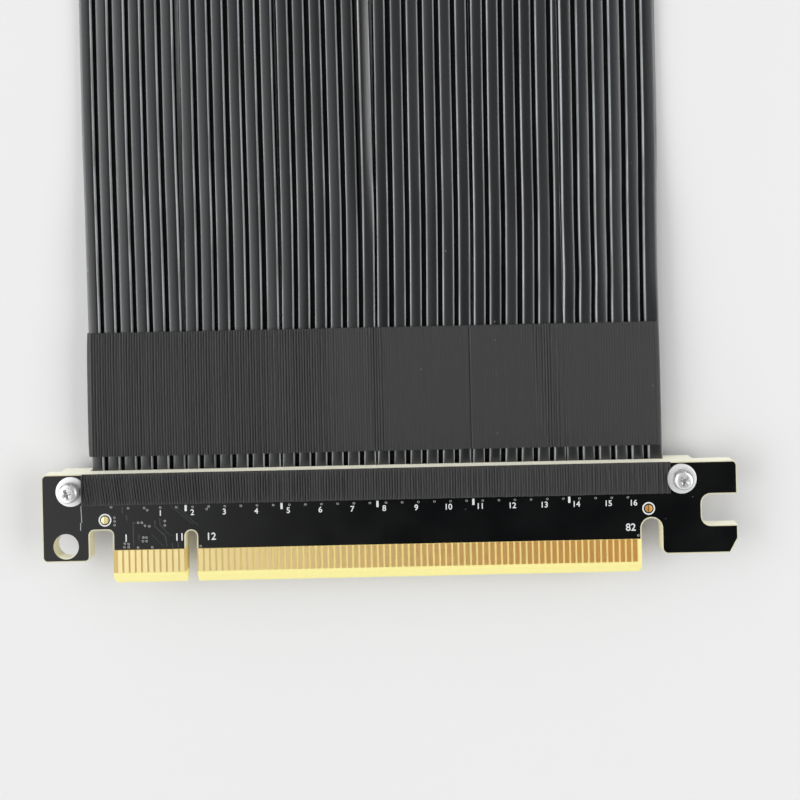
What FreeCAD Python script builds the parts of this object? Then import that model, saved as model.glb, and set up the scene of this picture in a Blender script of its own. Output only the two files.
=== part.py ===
import FreeCAD, Part
import math
import os

# Riser cable: a card-edge plug board and a slot board joined by six flat ribbon cables.
# Millimetres. +X runs along the card edge, +Y from the plug to the slot, +Z up.
# The origin lies under the middle of the part, on the surface that it rests on.
# X is worked out from the middle of the key notch and Y from the tip of the card edge,
# and every piece is moved to the origin when it is written.

# Card edge
contact_pitch = 1.0
contact_width = 0.7
contact_length = 3.6
contact_thickness = 0.08
contact_setback = 0.5
short_tab_contacts = 11
long_tab_contacts = 71
key_to_contact = 1.5
key_notch_width = 1.9
key_notch_top = 8.35
tab_side_margin = 1.1
tab_corner_radius = 0.7
bevel_length = 1.3
bevel_depth = 0.45

# Plug board
board_thickness = 1.6
plug_board_depth = 17.75
board_corner_radius = 0.8
ear_bottom = 3.65
ear_gap = 3.8
ear_gap_top = 8.65
ear_edge_margin = 4.8
ear_hole_diameter = 4.1
ear_hole_rise = 2.5
hook_gap = 3.35
hook_gap_top = 8.75
hook_bottom = 2.9
hook_corner_radius = 1.0
hook_edge_margin = 9.0
hook_chamfer_width = 1.3
hook_chamfer_height = 2.3
latch_slot_depth = 5.8
latch_slot_bottom = 7.4
latch_slot_height = 5.0
latch_slot_radius = 1.5
test_point_diameter = 1.2
test_point_thickness = 0.05
test_point_inset = 5.35
test_point_rise = 10.3

# Ribbon cables
ribbon_count = 6
ribbon_gap = 0.55
ribbon_thickness = 1.0
cable_overhang = 5.0
cable_length = 150.0
cable_reach = 4.6
slope_run = 22.0
floor_clearance = 0.05

# Clamp boards, each with a pocket for the ribbons, and their fasteners
clamp_floor = 0.6
clamp_depth = 7.5
clamp_end_margin = 3.45
clamp_corner_chamfer = 1.0
clamp_relief = 1.4
pocket_side_clearance = 0.35
pocket_end_clearance = 1.2
screw_diameter = 2.0
screw_hole_clearance = 0.2
screw_head_diameter = 3.2
screw_head_height = 1.2
screw_to_cable = 2.7
plug_screw_inset = 2.7
screw_tip_recess = 0.1
washer_diameter = 4.8
washer_thickness = 0.3
nut_width = 4.0
nut_height = 1.6
thread_clearance = 0.05

# Tape over the joints and tape round the cable
tape_width = 5.0
tape_thickness = 0.2
tape_end_inset = 1.8
tape_washer_clearance = 0.1
wrap_setback = 2.35
wrap_length = 20.15
wrap_thickness = 0.3
wrap_side_gap = 0.1
wrap_run_out = 10.5

# Slot board and slot housing
slot_board_depth = 20.0
housing_setback = 9.0
housing_depth = 7.5
housing_height = 11.25
housing_end_margin = 3.0
card_slot_width = 1.78
card_slot_height = 8.45
card_slot_end_margin = 1.2
key_rib_width = 1.6
lead_in = 0.6
spring_channel_depth = 1.3
spring_channel_cover = 1.2
spring_channel_end_margin = 0.5
spring_width = 0.5
spring_thickness = 0.25
spring_back_clearance = 0.1
spring_tip_offset = 0.7
spring_tip_drop = 2.25

# Sizes that follow
first_contact = -key_to_contact - (short_tab_contacts - 1) * contact_pitch
last_contact = key_to_contact + (long_tab_contacts - 1) * contact_pitch
tab_left = first_contact - tab_side_margin
tab_right = last_contact + tab_side_margin
cable_middle = (first_contact + last_contact) / 2
cable_width = last_contact - first_contact + 2 * cable_overhang
ribbon_pitch = (cable_width + ribbon_gap) / ribbon_count
ribbon_width = ribbon_pitch - ribbon_gap
screw_spread = cable_width / 2 + screw_to_cable
screw_hole_radius = (screw_diameter + screw_hole_clearance) / 2
plug_left = cable_middle - screw_spread - ear_edge_margin
plug_right = cable_middle + screw_spread + hook_edge_margin
ribbon_z = nut_height + clamp_floor
board_z = ribbon_z + ribbon_thickness
face_z = board_z + board_thickness
slot_edge = plug_board_depth + cable_length
overall_length = slot_edge + slot_board_depth
housing_top = face_z + housing_height
card_slot_middle = slot_edge + housing_setback + housing_depth / 2
to_origin = FreeCAD.Vector(-(plug_left + plug_right) / 2, -overall_length / 2, 0)

# The route of each ribbon: distance from the plug board's edge, height of the ribbon's middle
clamp_level = ribbon_z + ribbon_thickness / 2
floor_level = ribbon_thickness / 2 + floor_clearance
level_run = wrap_setback + wrap_length + wrap_run_out
ribbon_route = [
    (-cable_reach, clamp_level),
    (level_run, clamp_level),
    (level_run + slope_run, floor_level),
    (cable_length - level_run - slope_run, floor_level),
    (cable_length - level_run, clamp_level),
    (cable_length + cable_reach, clamp_level),
]
arc_share = 0.45
coincident = 1e-6
up = FreeCAD.Vector(0, 0, 1)


def corner_arc(before, corner, after, radius):
    """Start, middle and end of the tangent arc that rounds a corner."""
    back = (before - corner).normalize()
    ahead = (after - corner).normalize()
    half_angle = back.getAngle(ahead) / 2
    reach = radius / math.tan(half_angle)
    bisector = (back + ahead).normalize()
    rise = radius / math.sin(half_angle) - radius
    return corner + back * reach, corner + bisector * rise, corner + ahead * reach


def outline(corners):
    """Flat face at height zero through (x, y, radius) corners."""
    points = [FreeCAD.Vector(x, y, 0) for x, y, radius in corners]
    count = len(points)
    rounds = []
    for i in range(count):
        radius = corners[i][2]
        if radius > 0:
            rounds.append(corner_arc(points[i - 1], points[i], points[(i + 1) % count], radius))
        else:
            rounds.append((points[i], points[i], points[i]))
    edges = []
    for i in range(count):
        start, middle, end = rounds[i]
        if corners[i][2] > 0:
            edges.append(Part.Arc(start, middle, end).toShape())
        following = rounds[(i + 1) % count][0]
        if end.distanceToPoint(following) > coincident:
            edges.append(Part.LineSegment(end, following).toShape())
    return Part.Face(Part.Wire(edges))


def plate(corners, bottom, thickness, holes=()):
    """Plate of the given outline with round through holes (x, y, radius)."""
    solid = outline(corners).extrude(up * thickness)
    solid.translate(up * bottom)
    for x, y, radius in holes:
        drill = Part.makeCylinder(radius, thickness, FreeCAD.Vector(x, y, bottom))
        solid = solid.cut(drill)
    return solid


def box(x, y, z):
    """Box between the low and high values of each axis."""
    corner = FreeCAD.Vector(x[0], y[0], z[0])
    return Part.makeBox(x[1] - x[0], y[1] - y[0], z[1] - z[0], corner)


def prism_along_x(profile, low, high):
    """Solid of a closed (y, z) profile drawn out along X."""
    points = [FreeCAD.Vector(low, y, z) for y, z in profile]
    face = Part.Face(Part.makePolygon(points + points[:1]))
    return face.extrude(FreeCAD.Vector(high - low, 0, 0))


def turned(profile):
    """Solid of revolution about Z of a closed (radius, z) profile."""
    points = [FreeCAD.Vector(radius, 0, z) for radius, z in profile]
    face = Part.Face(Part.makePolygon(points + points[:1]))
    return face.revolve(FreeCAD.Vector(), up, 360)


def copies(shape, places):
    """The same solid set at each (x, y)."""
    group = []
    for x, y in places:
        copy = shape.copy()
        copy.translate(FreeCAD.Vector(x, y, 0))
        group.append(copy)
    return Part.makeCompound(group)


def across_cable(half_width):
    """X range of a piece that lies across the cable's middle."""
    return cable_middle - half_width, cable_middle + half_width


def screw_pair(y):
    """Places of the two screws, one at each side of the cable."""
    return [(x, y) for x in across_cable(screw_spread)]


def screw_holes(places):
    """Clearance holes for the screws."""
    return [(x, y, screw_hole_radius) for x, y in places]


def contact_places():
    """X of every contact of a row, the short tab's first."""
    short = [first_contact + i * contact_pitch for i in range(short_tab_contacts)]
    long = [key_to_contact + i * contact_pitch for i in range(long_tab_contacts)]
    return short + long


# Each end of the cable: the board's cable edge, the direction into the board,
# the depth of its clamp board and the places of its screws
plug_end = (plug_board_depth, -1, clamp_depth, screw_pair(plug_board_depth - plug_screw_inset))
slot_end = (slot_edge, 1, slot_board_depth, screw_pair(card_slot_middle))


# Plug board: ear, short tab, key notch, long tab and hook along its lower edge
def plug_board():
    ear_right = tab_left - ear_gap
    hook_left = tab_right + hook_gap
    latch_wall = plug_right - latch_slot_depth
    latch_top = latch_slot_bottom + latch_slot_height
    key = key_notch_width / 2
    corners = [
        (plug_left, ear_bottom, board_corner_radius),
        (ear_right, ear_bottom, board_corner_radius),
        (ear_right, ear_gap_top, board_corner_radius),
        (tab_left, ear_gap_top, board_corner_radius),
        (tab_left, 0, tab_corner_radius),
        (-key, 0, 0),
        (-key, key_notch_top, key),
        (key, key_notch_top, key),
        (key, 0, 0),
        (tab_right, 0, tab_corner_radius),
        (tab_right, hook_gap_top, hook_gap / 2),
        (hook_left, hook_gap_top, hook_gap / 2),
        (hook_left, hook_bottom, hook_corner_radius),
        (plug_right - hook_chamfer_width, hook_bottom, 0),
        (plug_right, hook_bottom + hook_chamfer_height, 0),
        (plug_right, latch_slot_bottom, 0),
        (latch_wall, latch_slot_bottom, latch_slot_radius),
        (latch_wall, latch_top, latch_slot_radius),
        (plug_right, latch_top, 0),
        (plug_right, plug_board_depth, board_corner_radius),
        (plug_left, plug_board_depth, board_corner_radius),
    ]
    ear_hole = ((plug_left + ear_right) / 2, ear_bottom + ear_hole_rise, ear_hole_diameter / 2)
    holes = [ear_hole] + screw_holes(plug_end[3])
    board = plate(corners, board_z, board_thickness, holes)
    low = tab_left - ear_gap / 2
    high = tab_right + hook_gap / 2
    for face, depth in ((face_z, -bevel_depth), (board_z, bevel_depth)):
        wedge = [(0, face), (bevel_length, face), (0, face + depth)]
        board = board.cut(prism_along_x(wedge, low, high))
    return board


def plug_contacts(bottom):
    """Row of gold contacts on one face of the card edge."""
    start = bevel_length + contact_setback
    half = contact_width / 2
    finger = box((-half, half), (start, start + contact_length), (bottom, bottom + contact_thickness))
    return copies(finger, [(x, 0) for x in contact_places()])


def test_points():
    """Two round gold pads on the front face, one inside each screw."""
    pad = Part.makeCylinder(test_point_diameter / 2, test_point_thickness, up * face_z)
    return copies(pad, [(x, test_point_rise) for x in across_cable(screw_spread - test_point_inset)])


# Clamp board: lies against the main board, with a pocket that presses on the ribbons
def clamp_board(end):
    edge, inward, depth, places = end
    half = screw_spread + clamp_end_margin
    pocket = cable_width / 2 + pocket_side_clearance
    steps = [
        (half, depth), (half, clamp_corner_chamfer), (half - clamp_corner_chamfer, 0),
        (pocket, 0), (pocket, clamp_relief),
    ]
    right = [(cable_middle + x, edge + inward * y, 0) for x, y in steps]
    left = [(cable_middle - x, edge + inward * y, 0) for x, y in reversed(steps)]
    board = plate(right + left, nut_height, clamp_floor + ribbon_thickness, screw_holes(places))
    sides = sorted((edge, edge + inward * (cable_reach + pocket_end_clearance)))
    return board.cut(box(across_cable(pocket), sides, (ribbon_z, board_z)))


# Fasteners: each screw goes down through washer, board and clamp board into a nut
def clamp_screws(end):
    seat = face_z + washer_thickness
    shank = screw_diameter / 2
    head = screw_head_diameter / 2
    profile = [
        (0, screw_tip_recess), (shank, screw_tip_recess), (shank, seat), (head, seat),
        (head, seat + screw_head_height), (0, seat + screw_head_height),
    ]
    return copies(turned(profile), end[3])


def clamp_washers(end):
    top = face_z + washer_thickness
    rim = washer_diameter / 2
    profile = [(screw_hole_radius, face_z), (rim, face_z), (rim, top), (screw_hole_radius, top)]
    return copies(turned(profile), end[3])


def clamp_nuts(end):
    rim = nut_width / math.sqrt(3)
    corners = []
    for i in range(6):
        angle = i * math.pi / 3
        corners.append((rim * math.cos(angle), rim * math.sin(angle), 0))
    bore = screw_diameter / 2 + thread_clearance
    return copies(plate(corners, 0, nut_height, [(0, 0, bore)]), end[3])


# Tape over the row of joints, cut round the washers
def solder_tape(end):
    edge, inward, depth, places = end
    sides = sorted((edge, edge + inward * tape_width))
    height = (face_z, face_z + tape_thickness)
    tape = box(across_cable(screw_spread - tape_end_inset), sides, height)
    radius = washer_diameter / 2 + tape_washer_clearance
    for x, y in places:
        tape = tape.cut(Part.makeCylinder(radius, tape_thickness, FreeCAD.Vector(x, y, face_z)))
    return tape


# Tape wrapped round all the ribbons beside the board
def cable_wrap(end):
    edge, inward = end[:2]
    sides = sorted((edge - inward * wrap_setback, edge - inward * (wrap_setback + wrap_length)))
    inner = cable_width / 2 + wrap_side_gap
    height = (ribbon_z - wrap_thickness, board_z + wrap_thickness)
    sleeve = box(across_cable(inner + wrap_thickness), sides, height)
    return sleeve.cut(box(across_cable(inner), sides, (ribbon_z, board_z)))


def ribbon_middles():
    """X of the middle of each ribbon."""
    first = cable_middle - (ribbon_count - 1) * ribbon_pitch / 2
    return [first + i * ribbon_pitch for i in range(ribbon_count)]


def ribbon_path(x):
    """Straight runs of the route joined by tangent arcs, with the arcs' radii."""
    points = [FreeCAD.Vector(x, plug_board_depth + y, z) for y, z in ribbon_route]
    edges = []
    radii = []
    start = points[0]
    for before, corner, after in zip(points, points[1:], points[2:]):
        run = min(before.distanceToPoint(corner), corner.distanceToPoint(after))
        turn = (corner - before).getAngle(after - corner)
        radius = arc_share * run / math.tan(turn / 2)
        first, middle, last = corner_arc(before, corner, after, radius)
        edges.append(Part.LineSegment(start, first).toShape())
        edges.append(Part.Arc(first, middle, last).toShape())
        radii.append(radius)
        start = last
    edges.append(Part.LineSegment(start, points[-1]).toShape())
    return Part.Wire(edges), radii


# Ribbon: a plain flat cable from the plug board's joints to the slot board's
def ribbon(x):
    path, radii = ribbon_path(x)
    y = plug_board_depth + ribbon_route[0][0]
    left = x - ribbon_width / 2
    right = x + ribbon_width / 2
    profile = [(left, ribbon_z), (right, ribbon_z), (right, board_z), (left, board_z)]
    points = [FreeCAD.Vector(px, y, pz) for px, pz in profile]
    section = Part.Face(Part.makePolygon(points + points[:1]))
    solid = path.makePipe(section)
    share = solid.Volume / (section.Area * path.Length)
    print("ribbon length %.1f, radii" % path.Length, ["%.0f" % r for r in radii],
          "volume over section times length %.4f" % share)
    return solid


def slot_board():
    left, right = across_cable(screw_spread + clamp_end_margin)
    far = slot_edge + slot_board_depth
    corners = [(left, slot_edge, 0), (right, slot_edge, 0), (right, far, 0), (left, far, 0)]
    return plate(corners, board_z, board_thickness, screw_holes(slot_end[3]))


# Slot housing: a card slot with a key rib, and a channel for the springs on each side of it
def slot_housing():
    left = first_contact - housing_end_margin
    right = last_contact + housing_end_margin
    near = slot_edge + housing_setback
    housing = box((left, right), (near, near + housing_depth), (face_z, housing_top))
    half = card_slot_width / 2
    channel = half + spring_channel_depth
    slot_floor = housing_top - card_slot_height
    mouth = [
        (card_slot_middle - half - lead_in, housing_top),
        (card_slot_middle + half + lead_in, housing_top),
        (card_slot_middle + half, housing_top - lead_in),
        (card_slot_middle + half, slot_floor),
        (card_slot_middle - half, slot_floor),
        (card_slot_middle - half, housing_top - lead_in),
    ]
    rib = key_rib_width / 2
    spans = [
        (first_contact, -key_to_contact, first_contact - card_slot_end_margin, -rib),
        (key_to_contact, last_contact, rib, last_contact + card_slot_end_margin),
    ]
    for first, last, low, high in spans:
        housing = housing.cut(prism_along_x(mouth, low, high))
        along = (first - spring_channel_end_margin, last + spring_channel_end_margin)
        height = (face_z, housing_top - spring_channel_cover)
        for side in (-1, 1):
            across = sorted((card_slot_middle + side * half, card_slot_middle + side * channel))
            housing = housing.cut(box(along, across, height))
    return housing


def slot_contacts(side):
    """Row of leaf springs on one side of the card slot, leaning in over it."""
    back = card_slot_width / 2 + spring_channel_depth - spring_back_clearance
    tip_z = housing_top - spring_tip_drop
    offsets = [
        (back - spring_thickness, face_z), (back, face_z),
        (spring_tip_offset + spring_thickness, tip_z), (spring_tip_offset, tip_z),
    ]
    profile = [(card_slot_middle + side * y, z) for y, z in offsets]
    leaf = prism_along_x(profile, -spring_width / 2, spring_width / 2)
    return copies(leaf, [(x, 0) for x in contact_places()])


nodes = {
    "plug_board": plug_board(),
    "plug_contacts_front": plug_contacts(face_z),
    "plug_contacts_back": plug_contacts(board_z - contact_thickness),
    "plug_test_points": test_points(),
    "slot_board": slot_board(),
    "slot_housing": slot_housing(),
    "slot_contacts_near": slot_contacts(-1),
    "slot_contacts_far": slot_contacts(1),
}
for name, end in (("plug", plug_end), ("slot", slot_end)):
    nodes[name + "_clamp_board"] = clamp_board(end)
    nodes[name + "_clamp_screws"] = clamp_screws(end)
    nodes[name + "_clamp_washers"] = clamp_washers(end)
    nodes[name + "_clamp_nuts"] = clamp_nuts(end)
    nodes[name + "_solder_tape"] = solder_tape(end)
    nodes[name + "_cable_wrap"] = cable_wrap(end)
for number, middle in enumerate(ribbon_middles(), start=1):
    nodes["ribbon_%d" % number] = ribbon(middle)

os.makedirs("parts", exist_ok=True)
for name, shape in nodes.items():
    shape.translate(to_origin)
    shape.exportStep("parts/%s.step" % name)
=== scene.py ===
"""Looks of a flat card extension cable: two black boards joined by six flat ribbon cables."""

import logging
import math
import random
from dataclasses import dataclass, field
from enum import Enum

import bmesh
import bpy
from mathutils import Matrix, Vector


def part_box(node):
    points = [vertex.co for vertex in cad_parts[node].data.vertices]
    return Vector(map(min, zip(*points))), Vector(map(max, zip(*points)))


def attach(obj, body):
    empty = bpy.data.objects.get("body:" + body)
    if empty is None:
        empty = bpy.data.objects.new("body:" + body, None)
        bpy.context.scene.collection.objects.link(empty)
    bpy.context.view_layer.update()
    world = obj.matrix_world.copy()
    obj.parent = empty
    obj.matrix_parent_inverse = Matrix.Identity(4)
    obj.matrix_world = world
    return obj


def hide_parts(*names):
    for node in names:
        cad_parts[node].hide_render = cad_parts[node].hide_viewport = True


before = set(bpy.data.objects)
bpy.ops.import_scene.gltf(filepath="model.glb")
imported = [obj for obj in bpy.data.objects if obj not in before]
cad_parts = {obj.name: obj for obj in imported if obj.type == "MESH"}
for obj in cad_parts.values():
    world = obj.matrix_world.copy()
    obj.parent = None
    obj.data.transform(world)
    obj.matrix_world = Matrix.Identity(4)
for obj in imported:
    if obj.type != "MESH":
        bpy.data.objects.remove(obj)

MM = 0.001
BODY = "root"
LOG = logging.getLogger("cable")

Point = tuple[float, float, float]
Colour = tuple[float, float, float, float]
Span = tuple[float, float]
Pair = tuple[Colour, Colour]
Rings = list[list[Vector]]
Tree = bpy.types.NodeTree
Socket = bpy.types.NodeSocket
Inputs = bpy.types.NodeInputs
Outputs = bpy.types.NodeOutputs

# Where a noise pattern counts as low and as high
PATTERN: Span = (0.3, 0.7)

# Range of the starting angles of slow waves
PHASES: Span = (0.0, 6.0)

# Points and heights that are closer than this, in metres, are the same
SAME_POINT = 1e-8
SAME_CORNER = 1e-6

# Angles in degrees above which an edge stays sharp: most pieces, nuts, tape and small beads
SHARP = 35.0
CRISP = 25.0
WOVEN = 60.0
BEADED = 80.0

# Angles in degrees on the solids: edges that are softened and faces that stay flat
SOFTENED = 40.0
FLAT = 15.0


class End(Enum):
    """The two ends of the cable."""

    PLUG = "plug"
    SLOT = "slot"


class Surface(Enum):
    """The material slots of the part's record."""

    MASK = "solder_mask"
    GOLD = "gold_plating"
    NICKEL = "nickel_steel"
    TAPE = "acetate_tape"
    JACKET = "cable_jacket"


# Node helpers


def join(tree: Tree, source: Socket, target: Socket) -> None:
    """Links one socket to another."""
    tree.links.new(source, target)


def give(tree: Tree, value: Socket | float | Colour, target: Socket) -> None:
    """Links a socket to the target, or sets a plain value there.

    Args:
        tree: The node tree.
        value: A socket, a number or a colour.
        target: The socket that takes it.
    """
    if isinstance(value, Socket):
        join(tree, value, target)
    else:
        target.default_value = value


def axes(tree: Tree, source: Socket) -> Outputs:
    """Splits a place or a direction into its parts.

    Args:
        tree: The node tree.
        source: The socket of the place or direction.

    Returns:
        The outputs X, Y and Z.
    """
    node = tree.nodes.new("ShaderNodeSeparateXYZ")
    join(tree, source, node.inputs[0])
    return node.outputs


def sums(
    tree: Tree, kind: str, first: Socket | float, second: Socket | float = 0.0, clamp: bool = False
) -> Socket:
    """Adds one piece of arithmetic on values that change over the surface.

    Args:
        tree: The node tree.
        kind: The Math node's operation.
        first: A socket or a number.
        second: A socket or a number.
        clamp: Whether the result is kept from 0 to 1.

    Returns:
        The result's socket.
    """
    node = tree.nodes.new("ShaderNodeMath")
    node.operation = kind
    node.use_clamp = clamp
    give(tree, first, node.inputs[0])
    give(tree, second, node.inputs[1])
    return node.outputs[0]


def ramp(
    tree: Tree, value: Socket, low: float, high: float, out_low: float = 0.0, out_high: float = 1.0
) -> Socket:
    """Maps a value from one range to another with soft ends.

    Args:
        tree: The node tree.
        value: The value's socket.
        low: The value that gives out_low.
        high: The value that gives out_high.
        out_low: The result at low.
        out_high: The result at high.

    Returns:
        The mapped value's socket.
    """
    node = tree.nodes.new("ShaderNodeMapRange")
    node.interpolation_type = "SMOOTHSTEP"
    node.inputs["From Min"].default_value = low
    node.inputs["From Max"].default_value = high
    node.inputs["To Min"].default_value = out_low
    node.inputs["To Max"].default_value = out_high
    join(tree, value, node.inputs["Value"])
    return node.outputs[0]


def noise(
    tree: Tree,
    place: Socket,
    scale: Socket | float,
    stretch: Point = (1.0, 1.0, 1.0),
    detail: float = 3.0,
) -> Socket:
    """Adds a noise pattern.

    Args:
        tree: The node tree.
        place: The coordinates' socket.
        scale: How many lumps to the metre.
        stretch: How much finer the pattern is along x, y and z.
        detail: How many finer layers it has.

    Returns:
        The pattern's value socket.
    """
    mapping = tree.nodes.new("ShaderNodeMapping")
    mapping.inputs["Scale"].default_value = stretch
    join(tree, place, mapping.inputs["Vector"])
    node = tree.nodes.new("ShaderNodeTexNoise")
    node.inputs["Detail"].default_value = detail
    give(tree, scale, node.inputs["Scale"])
    join(tree, mapping.outputs[0], node.inputs["Vector"])
    return node.outputs[0]


# Shader effects


@dataclass(frozen=True)
class Effect:
    """A shader node group that several finishes share."""

    name: str

    def inputs(self) -> dict[str, float]:
        """Returns the group's own inputs with their first values."""
        return {}

    def outputs(self) -> list[str]:
        """Returns the names of the group's value outputs."""
        return ["Mask"]

    def wire(self, tree: Tree, ins: Outputs, outs: Inputs) -> None:
        """Joins the group's nodes; each effect has its own way."""
        raise NotImplementedError

    def tree(self) -> Tree:
        """Builds the group once and finds it again afterwards.

        Returns:
            The node group.
        """
        found = bpy.data.node_groups.get(self.name)
        if found:
            return found
        made = bpy.data.node_groups.new(self.name, "ShaderNodeTree")
        made.interface.new_socket("Place", in_out="INPUT", socket_type="NodeSocketVector")
        for name, value in self.inputs().items():
            socket = made.interface.new_socket(name, in_out="INPUT", socket_type="NodeSocketFloat")
            socket.default_value = value
        for name in self.outputs():
            made.interface.new_socket(name, in_out="OUTPUT", socket_type="NodeSocketFloat")
        ins = made.nodes.new("NodeGroupInput").outputs
        self.wire(made, ins, made.nodes.new("NodeGroupOutput").inputs)
        return made


@dataclass(frozen=True)
class Dust(Effect):
    """Small pale specks."""

    name: str = "dust"
    rim: float = 0.14
    middle: float = 0.05

    def inputs(self) -> dict[str, float]:
        """Returns how many places for specks there are to the metre and what share of them is taken."""
        return {"Specks": 900.0, "Share": 0.1}

    def wire(self, tree: Tree, ins: Outputs, outs: Inputs) -> None:
        """Keeps the small middles of some cells of a cell pattern.

        Args:
            tree: The group's tree.
            ins: The sockets that come in.
            outs: The sockets that go out.
        """
        cells = tree.nodes.new("ShaderNodeTexVoronoi")
        join(tree, ins["Place"], cells.inputs["Vector"])
        join(tree, ins["Specks"], cells.inputs["Scale"])
        tint = tree.nodes.new("ShaderNodeSeparateColor")
        join(tree, cells.outputs["Color"], tint.inputs[0])
        chosen = sums(tree, "LESS_THAN", tint.outputs[0], ins["Share"])
        middle = ramp(tree, cells.outputs["Distance"], self.rim, self.middle)
        join(tree, sums(tree, "MULTIPLY", chosen, middle), outs["Mask"])


@dataclass(frozen=True)
class Grain(Effect):
    """Fine unevenness of a moulded, coated or drawn surface."""

    name: str = "grain"
    tone_fineness: float = 0.06
    tone_detail: float = 4.0

    def inputs(self) -> dict[str, float]:
        """Returns the grain's fineness and how far it is drawn out along the cable."""
        return {"Fineness": 4000.0, "Draw": 1.0}

    def outputs(self) -> list[str]:
        """Returns a height and a slow variation of tone."""
        return ["Height", "Tone"]

    def wire(self, tree: Tree, ins: Outputs, outs: Inputs) -> None:
        """Divides the place along the cable by the draw and takes a fine and a broad noise.

        Args:
            tree: The group's tree.
            ins: The sockets that come in.
            outs: The sockets that go out.
        """
        at = axes(tree, ins["Place"])
        packed = tree.nodes.new("ShaderNodeCombineXYZ")
        join(tree, at["X"], packed.inputs["X"])
        join(tree, sums(tree, "DIVIDE", at["Y"], ins["Draw"]), packed.inputs["Y"])
        join(tree, at["Z"], packed.inputs["Z"])
        join(tree, noise(tree, packed.outputs[0], ins["Fineness"]), outs["Height"])
        slow = sums(tree, "MULTIPLY", ins["Fineness"], self.tone_fineness)
        join(tree, noise(tree, packed.outputs[0], slow, detail=self.tone_detail), outs["Tone"])


@dataclass(frozen=True)
class Threads(Effect):
    """The fine threads of a woven tape, running along the cable."""

    name: str = "threads"
    wobble_fineness: float = 700.0
    wobble_reach: float = 0.2 * MM
    warp: float = 0.5
    weft: float = 0.18
    tone_fineness: float = 5200.0

    def inputs(self) -> dict[str, float]:
        """Returns the number of threads to the metre."""
        return {"Count": 900.0}

    def outputs(self) -> list[str]:
        """Returns a height and a tone that differs from thread to thread."""
        return ["Height", "Tone"]

    def wire(self, tree: Tree, ins: Outputs, outs: Inputs) -> None:
        """Crosses a wave across the cable with a lower one along it.

        Args:
            tree: The group's tree.
            ins: The sockets that come in.
            outs: The sockets that go out.
        """
        wobble = noise(tree, ins["Place"], self.wobble_fineness, (1.0, 0.3, 1.0))
        at = axes(tree, ins["Place"])
        across = sums(tree, "ADD", at["X"], sums(tree, "MULTIPLY", wobble, self.wobble_reach))
        turns = sums(tree, "MULTIPLY", ins["Count"], 2.0 * math.pi)
        warp = sums(tree, "SINE", sums(tree, "MULTIPLY", across, turns))
        weft = sums(tree, "SINE", sums(tree, "MULTIPLY", at["Y"], turns))
        thread = sums(tree, "MULTIPLY", warp, self.warp)
        height = sums(tree, "ADD", thread, sums(tree, "MULTIPLY", weft, self.weft))
        join(tree, sums(tree, "ADD", height, wobble), outs["Height"])
        join(tree, noise(tree, ins["Place"], self.tone_fineness, (1.0, 0.22, 1.0)), outs["Tone"])


@dataclass(frozen=True)
class Laminate(Effect):
    """Where the bare glass-fibre laminate shows: on edges, and round the contact fingers."""

    name: str = "laminate"
    level_from: float = 0.965
    # faces turned along the cable, which get painted light
    lit_edge_from: float = 0.70
    lit_edge_full: float = 0.95
    layer_fineness: float = 500.0
    fibre_fineness: float = 5000.0

    def inputs(self) -> dict[str, float]:
        """Returns the upper end and the two sides of the bare zone."""
        return {"Bare up to": -1.0, "Bare from": -1.0, "Bare to": 1.0}

    def outputs(self) -> list[str]:
        """Returns where cut edges are, where edges face along the cable for painted light, where the
        bare zone is, and the tone of the layers.
        """
        return ["Edge", "Snapped", "Bare", "Tone"]

    def wire(self, tree: Tree, ins: Outputs, outs: Inputs) -> None:
        """Takes upright faces as cut edges and a box on the board as the bare zone.

        Args:
            tree: The group's tree.
            ins: The sockets that come in.
            outs: The sockets that go out.
        """
        way = axes(tree, tree.nodes.new("ShaderNodeNewGeometry").outputs["True Normal"])
        level = sums(tree, "ABSOLUTE", way["Z"])
        join(tree, sums(tree, "LESS_THAN", level, self.level_from), outs["Edge"])
        endwise = sums(tree, "ABSOLUTE", way["Y"])
        join(tree, ramp(tree, endwise, self.lit_edge_from, self.lit_edge_full), outs["Snapped"])
        at = axes(tree, ins["Place"])
        below = sums(tree, "LESS_THAN", at["Y"], ins["Bare up to"])
        after = sums(tree, "GREATER_THAN", at["X"], ins["Bare from"])
        before = sums(tree, "LESS_THAN", at["X"], ins["Bare to"])
        between = sums(tree, "MULTIPLY", after, before)
        join(tree, sums(tree, "MULTIPLY", below, between), outs["Bare"])
        layers = noise(tree, ins["Place"], self.layer_fineness, (1.0, 1.0, 24.0))
        fibres = noise(tree, ins["Place"], self.fibre_fineness, (0.3, 0.3, 1.0))
        both = sums(tree, "ADD", layers, fibres)
        join(tree, sums(tree, "MULTIPLY", both, 0.5), outs["Tone"])


@dataclass(frozen=True)
class PaintedEdgeLight(Effect):
    """Mask for painted light on long edges: rounded corners and upright sides, not flat faces; the
    jacket gets painted highlights there and nickel painted shade.
    """

    name: str = "rub_and_edge_light"
    leaning: Span = (0.86, 0.68)
    upward: Span = (-0.35, -0.10)
    break_fineness: float = 1500.0
    patches: Span = (0.30, 0.62)
    least: float = 0.40

    def wire(self, tree: Tree, ins: Outputs, outs: Inputs) -> None:
        """Takes surfaces that lean well away from level, broken up along the edge.

        Args:
            tree: The group's tree.
            ins: The sockets that come in.
            outs: The sockets that go out.
        """
        way = axes(tree, tree.nodes.new("ShaderNodeNewGeometry").outputs["Normal"])
        leaning = ramp(tree, way["Z"], *self.leaning)
        corner = sums(tree, "MULTIPLY", leaning, ramp(tree, way["Z"], *self.upward))
        broken_up = noise(tree, ins["Place"], self.break_fineness, (1.0, 0.05, 1.0))
        patchy = ramp(tree, broken_up, *self.patches, self.least)
        # painted edge light: this mask places painted highlights and painted shade on leaning surfaces
        join(tree, sums(tree, "MULTIPLY", corner, patchy), outs["Mask"])


# Finishes


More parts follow.
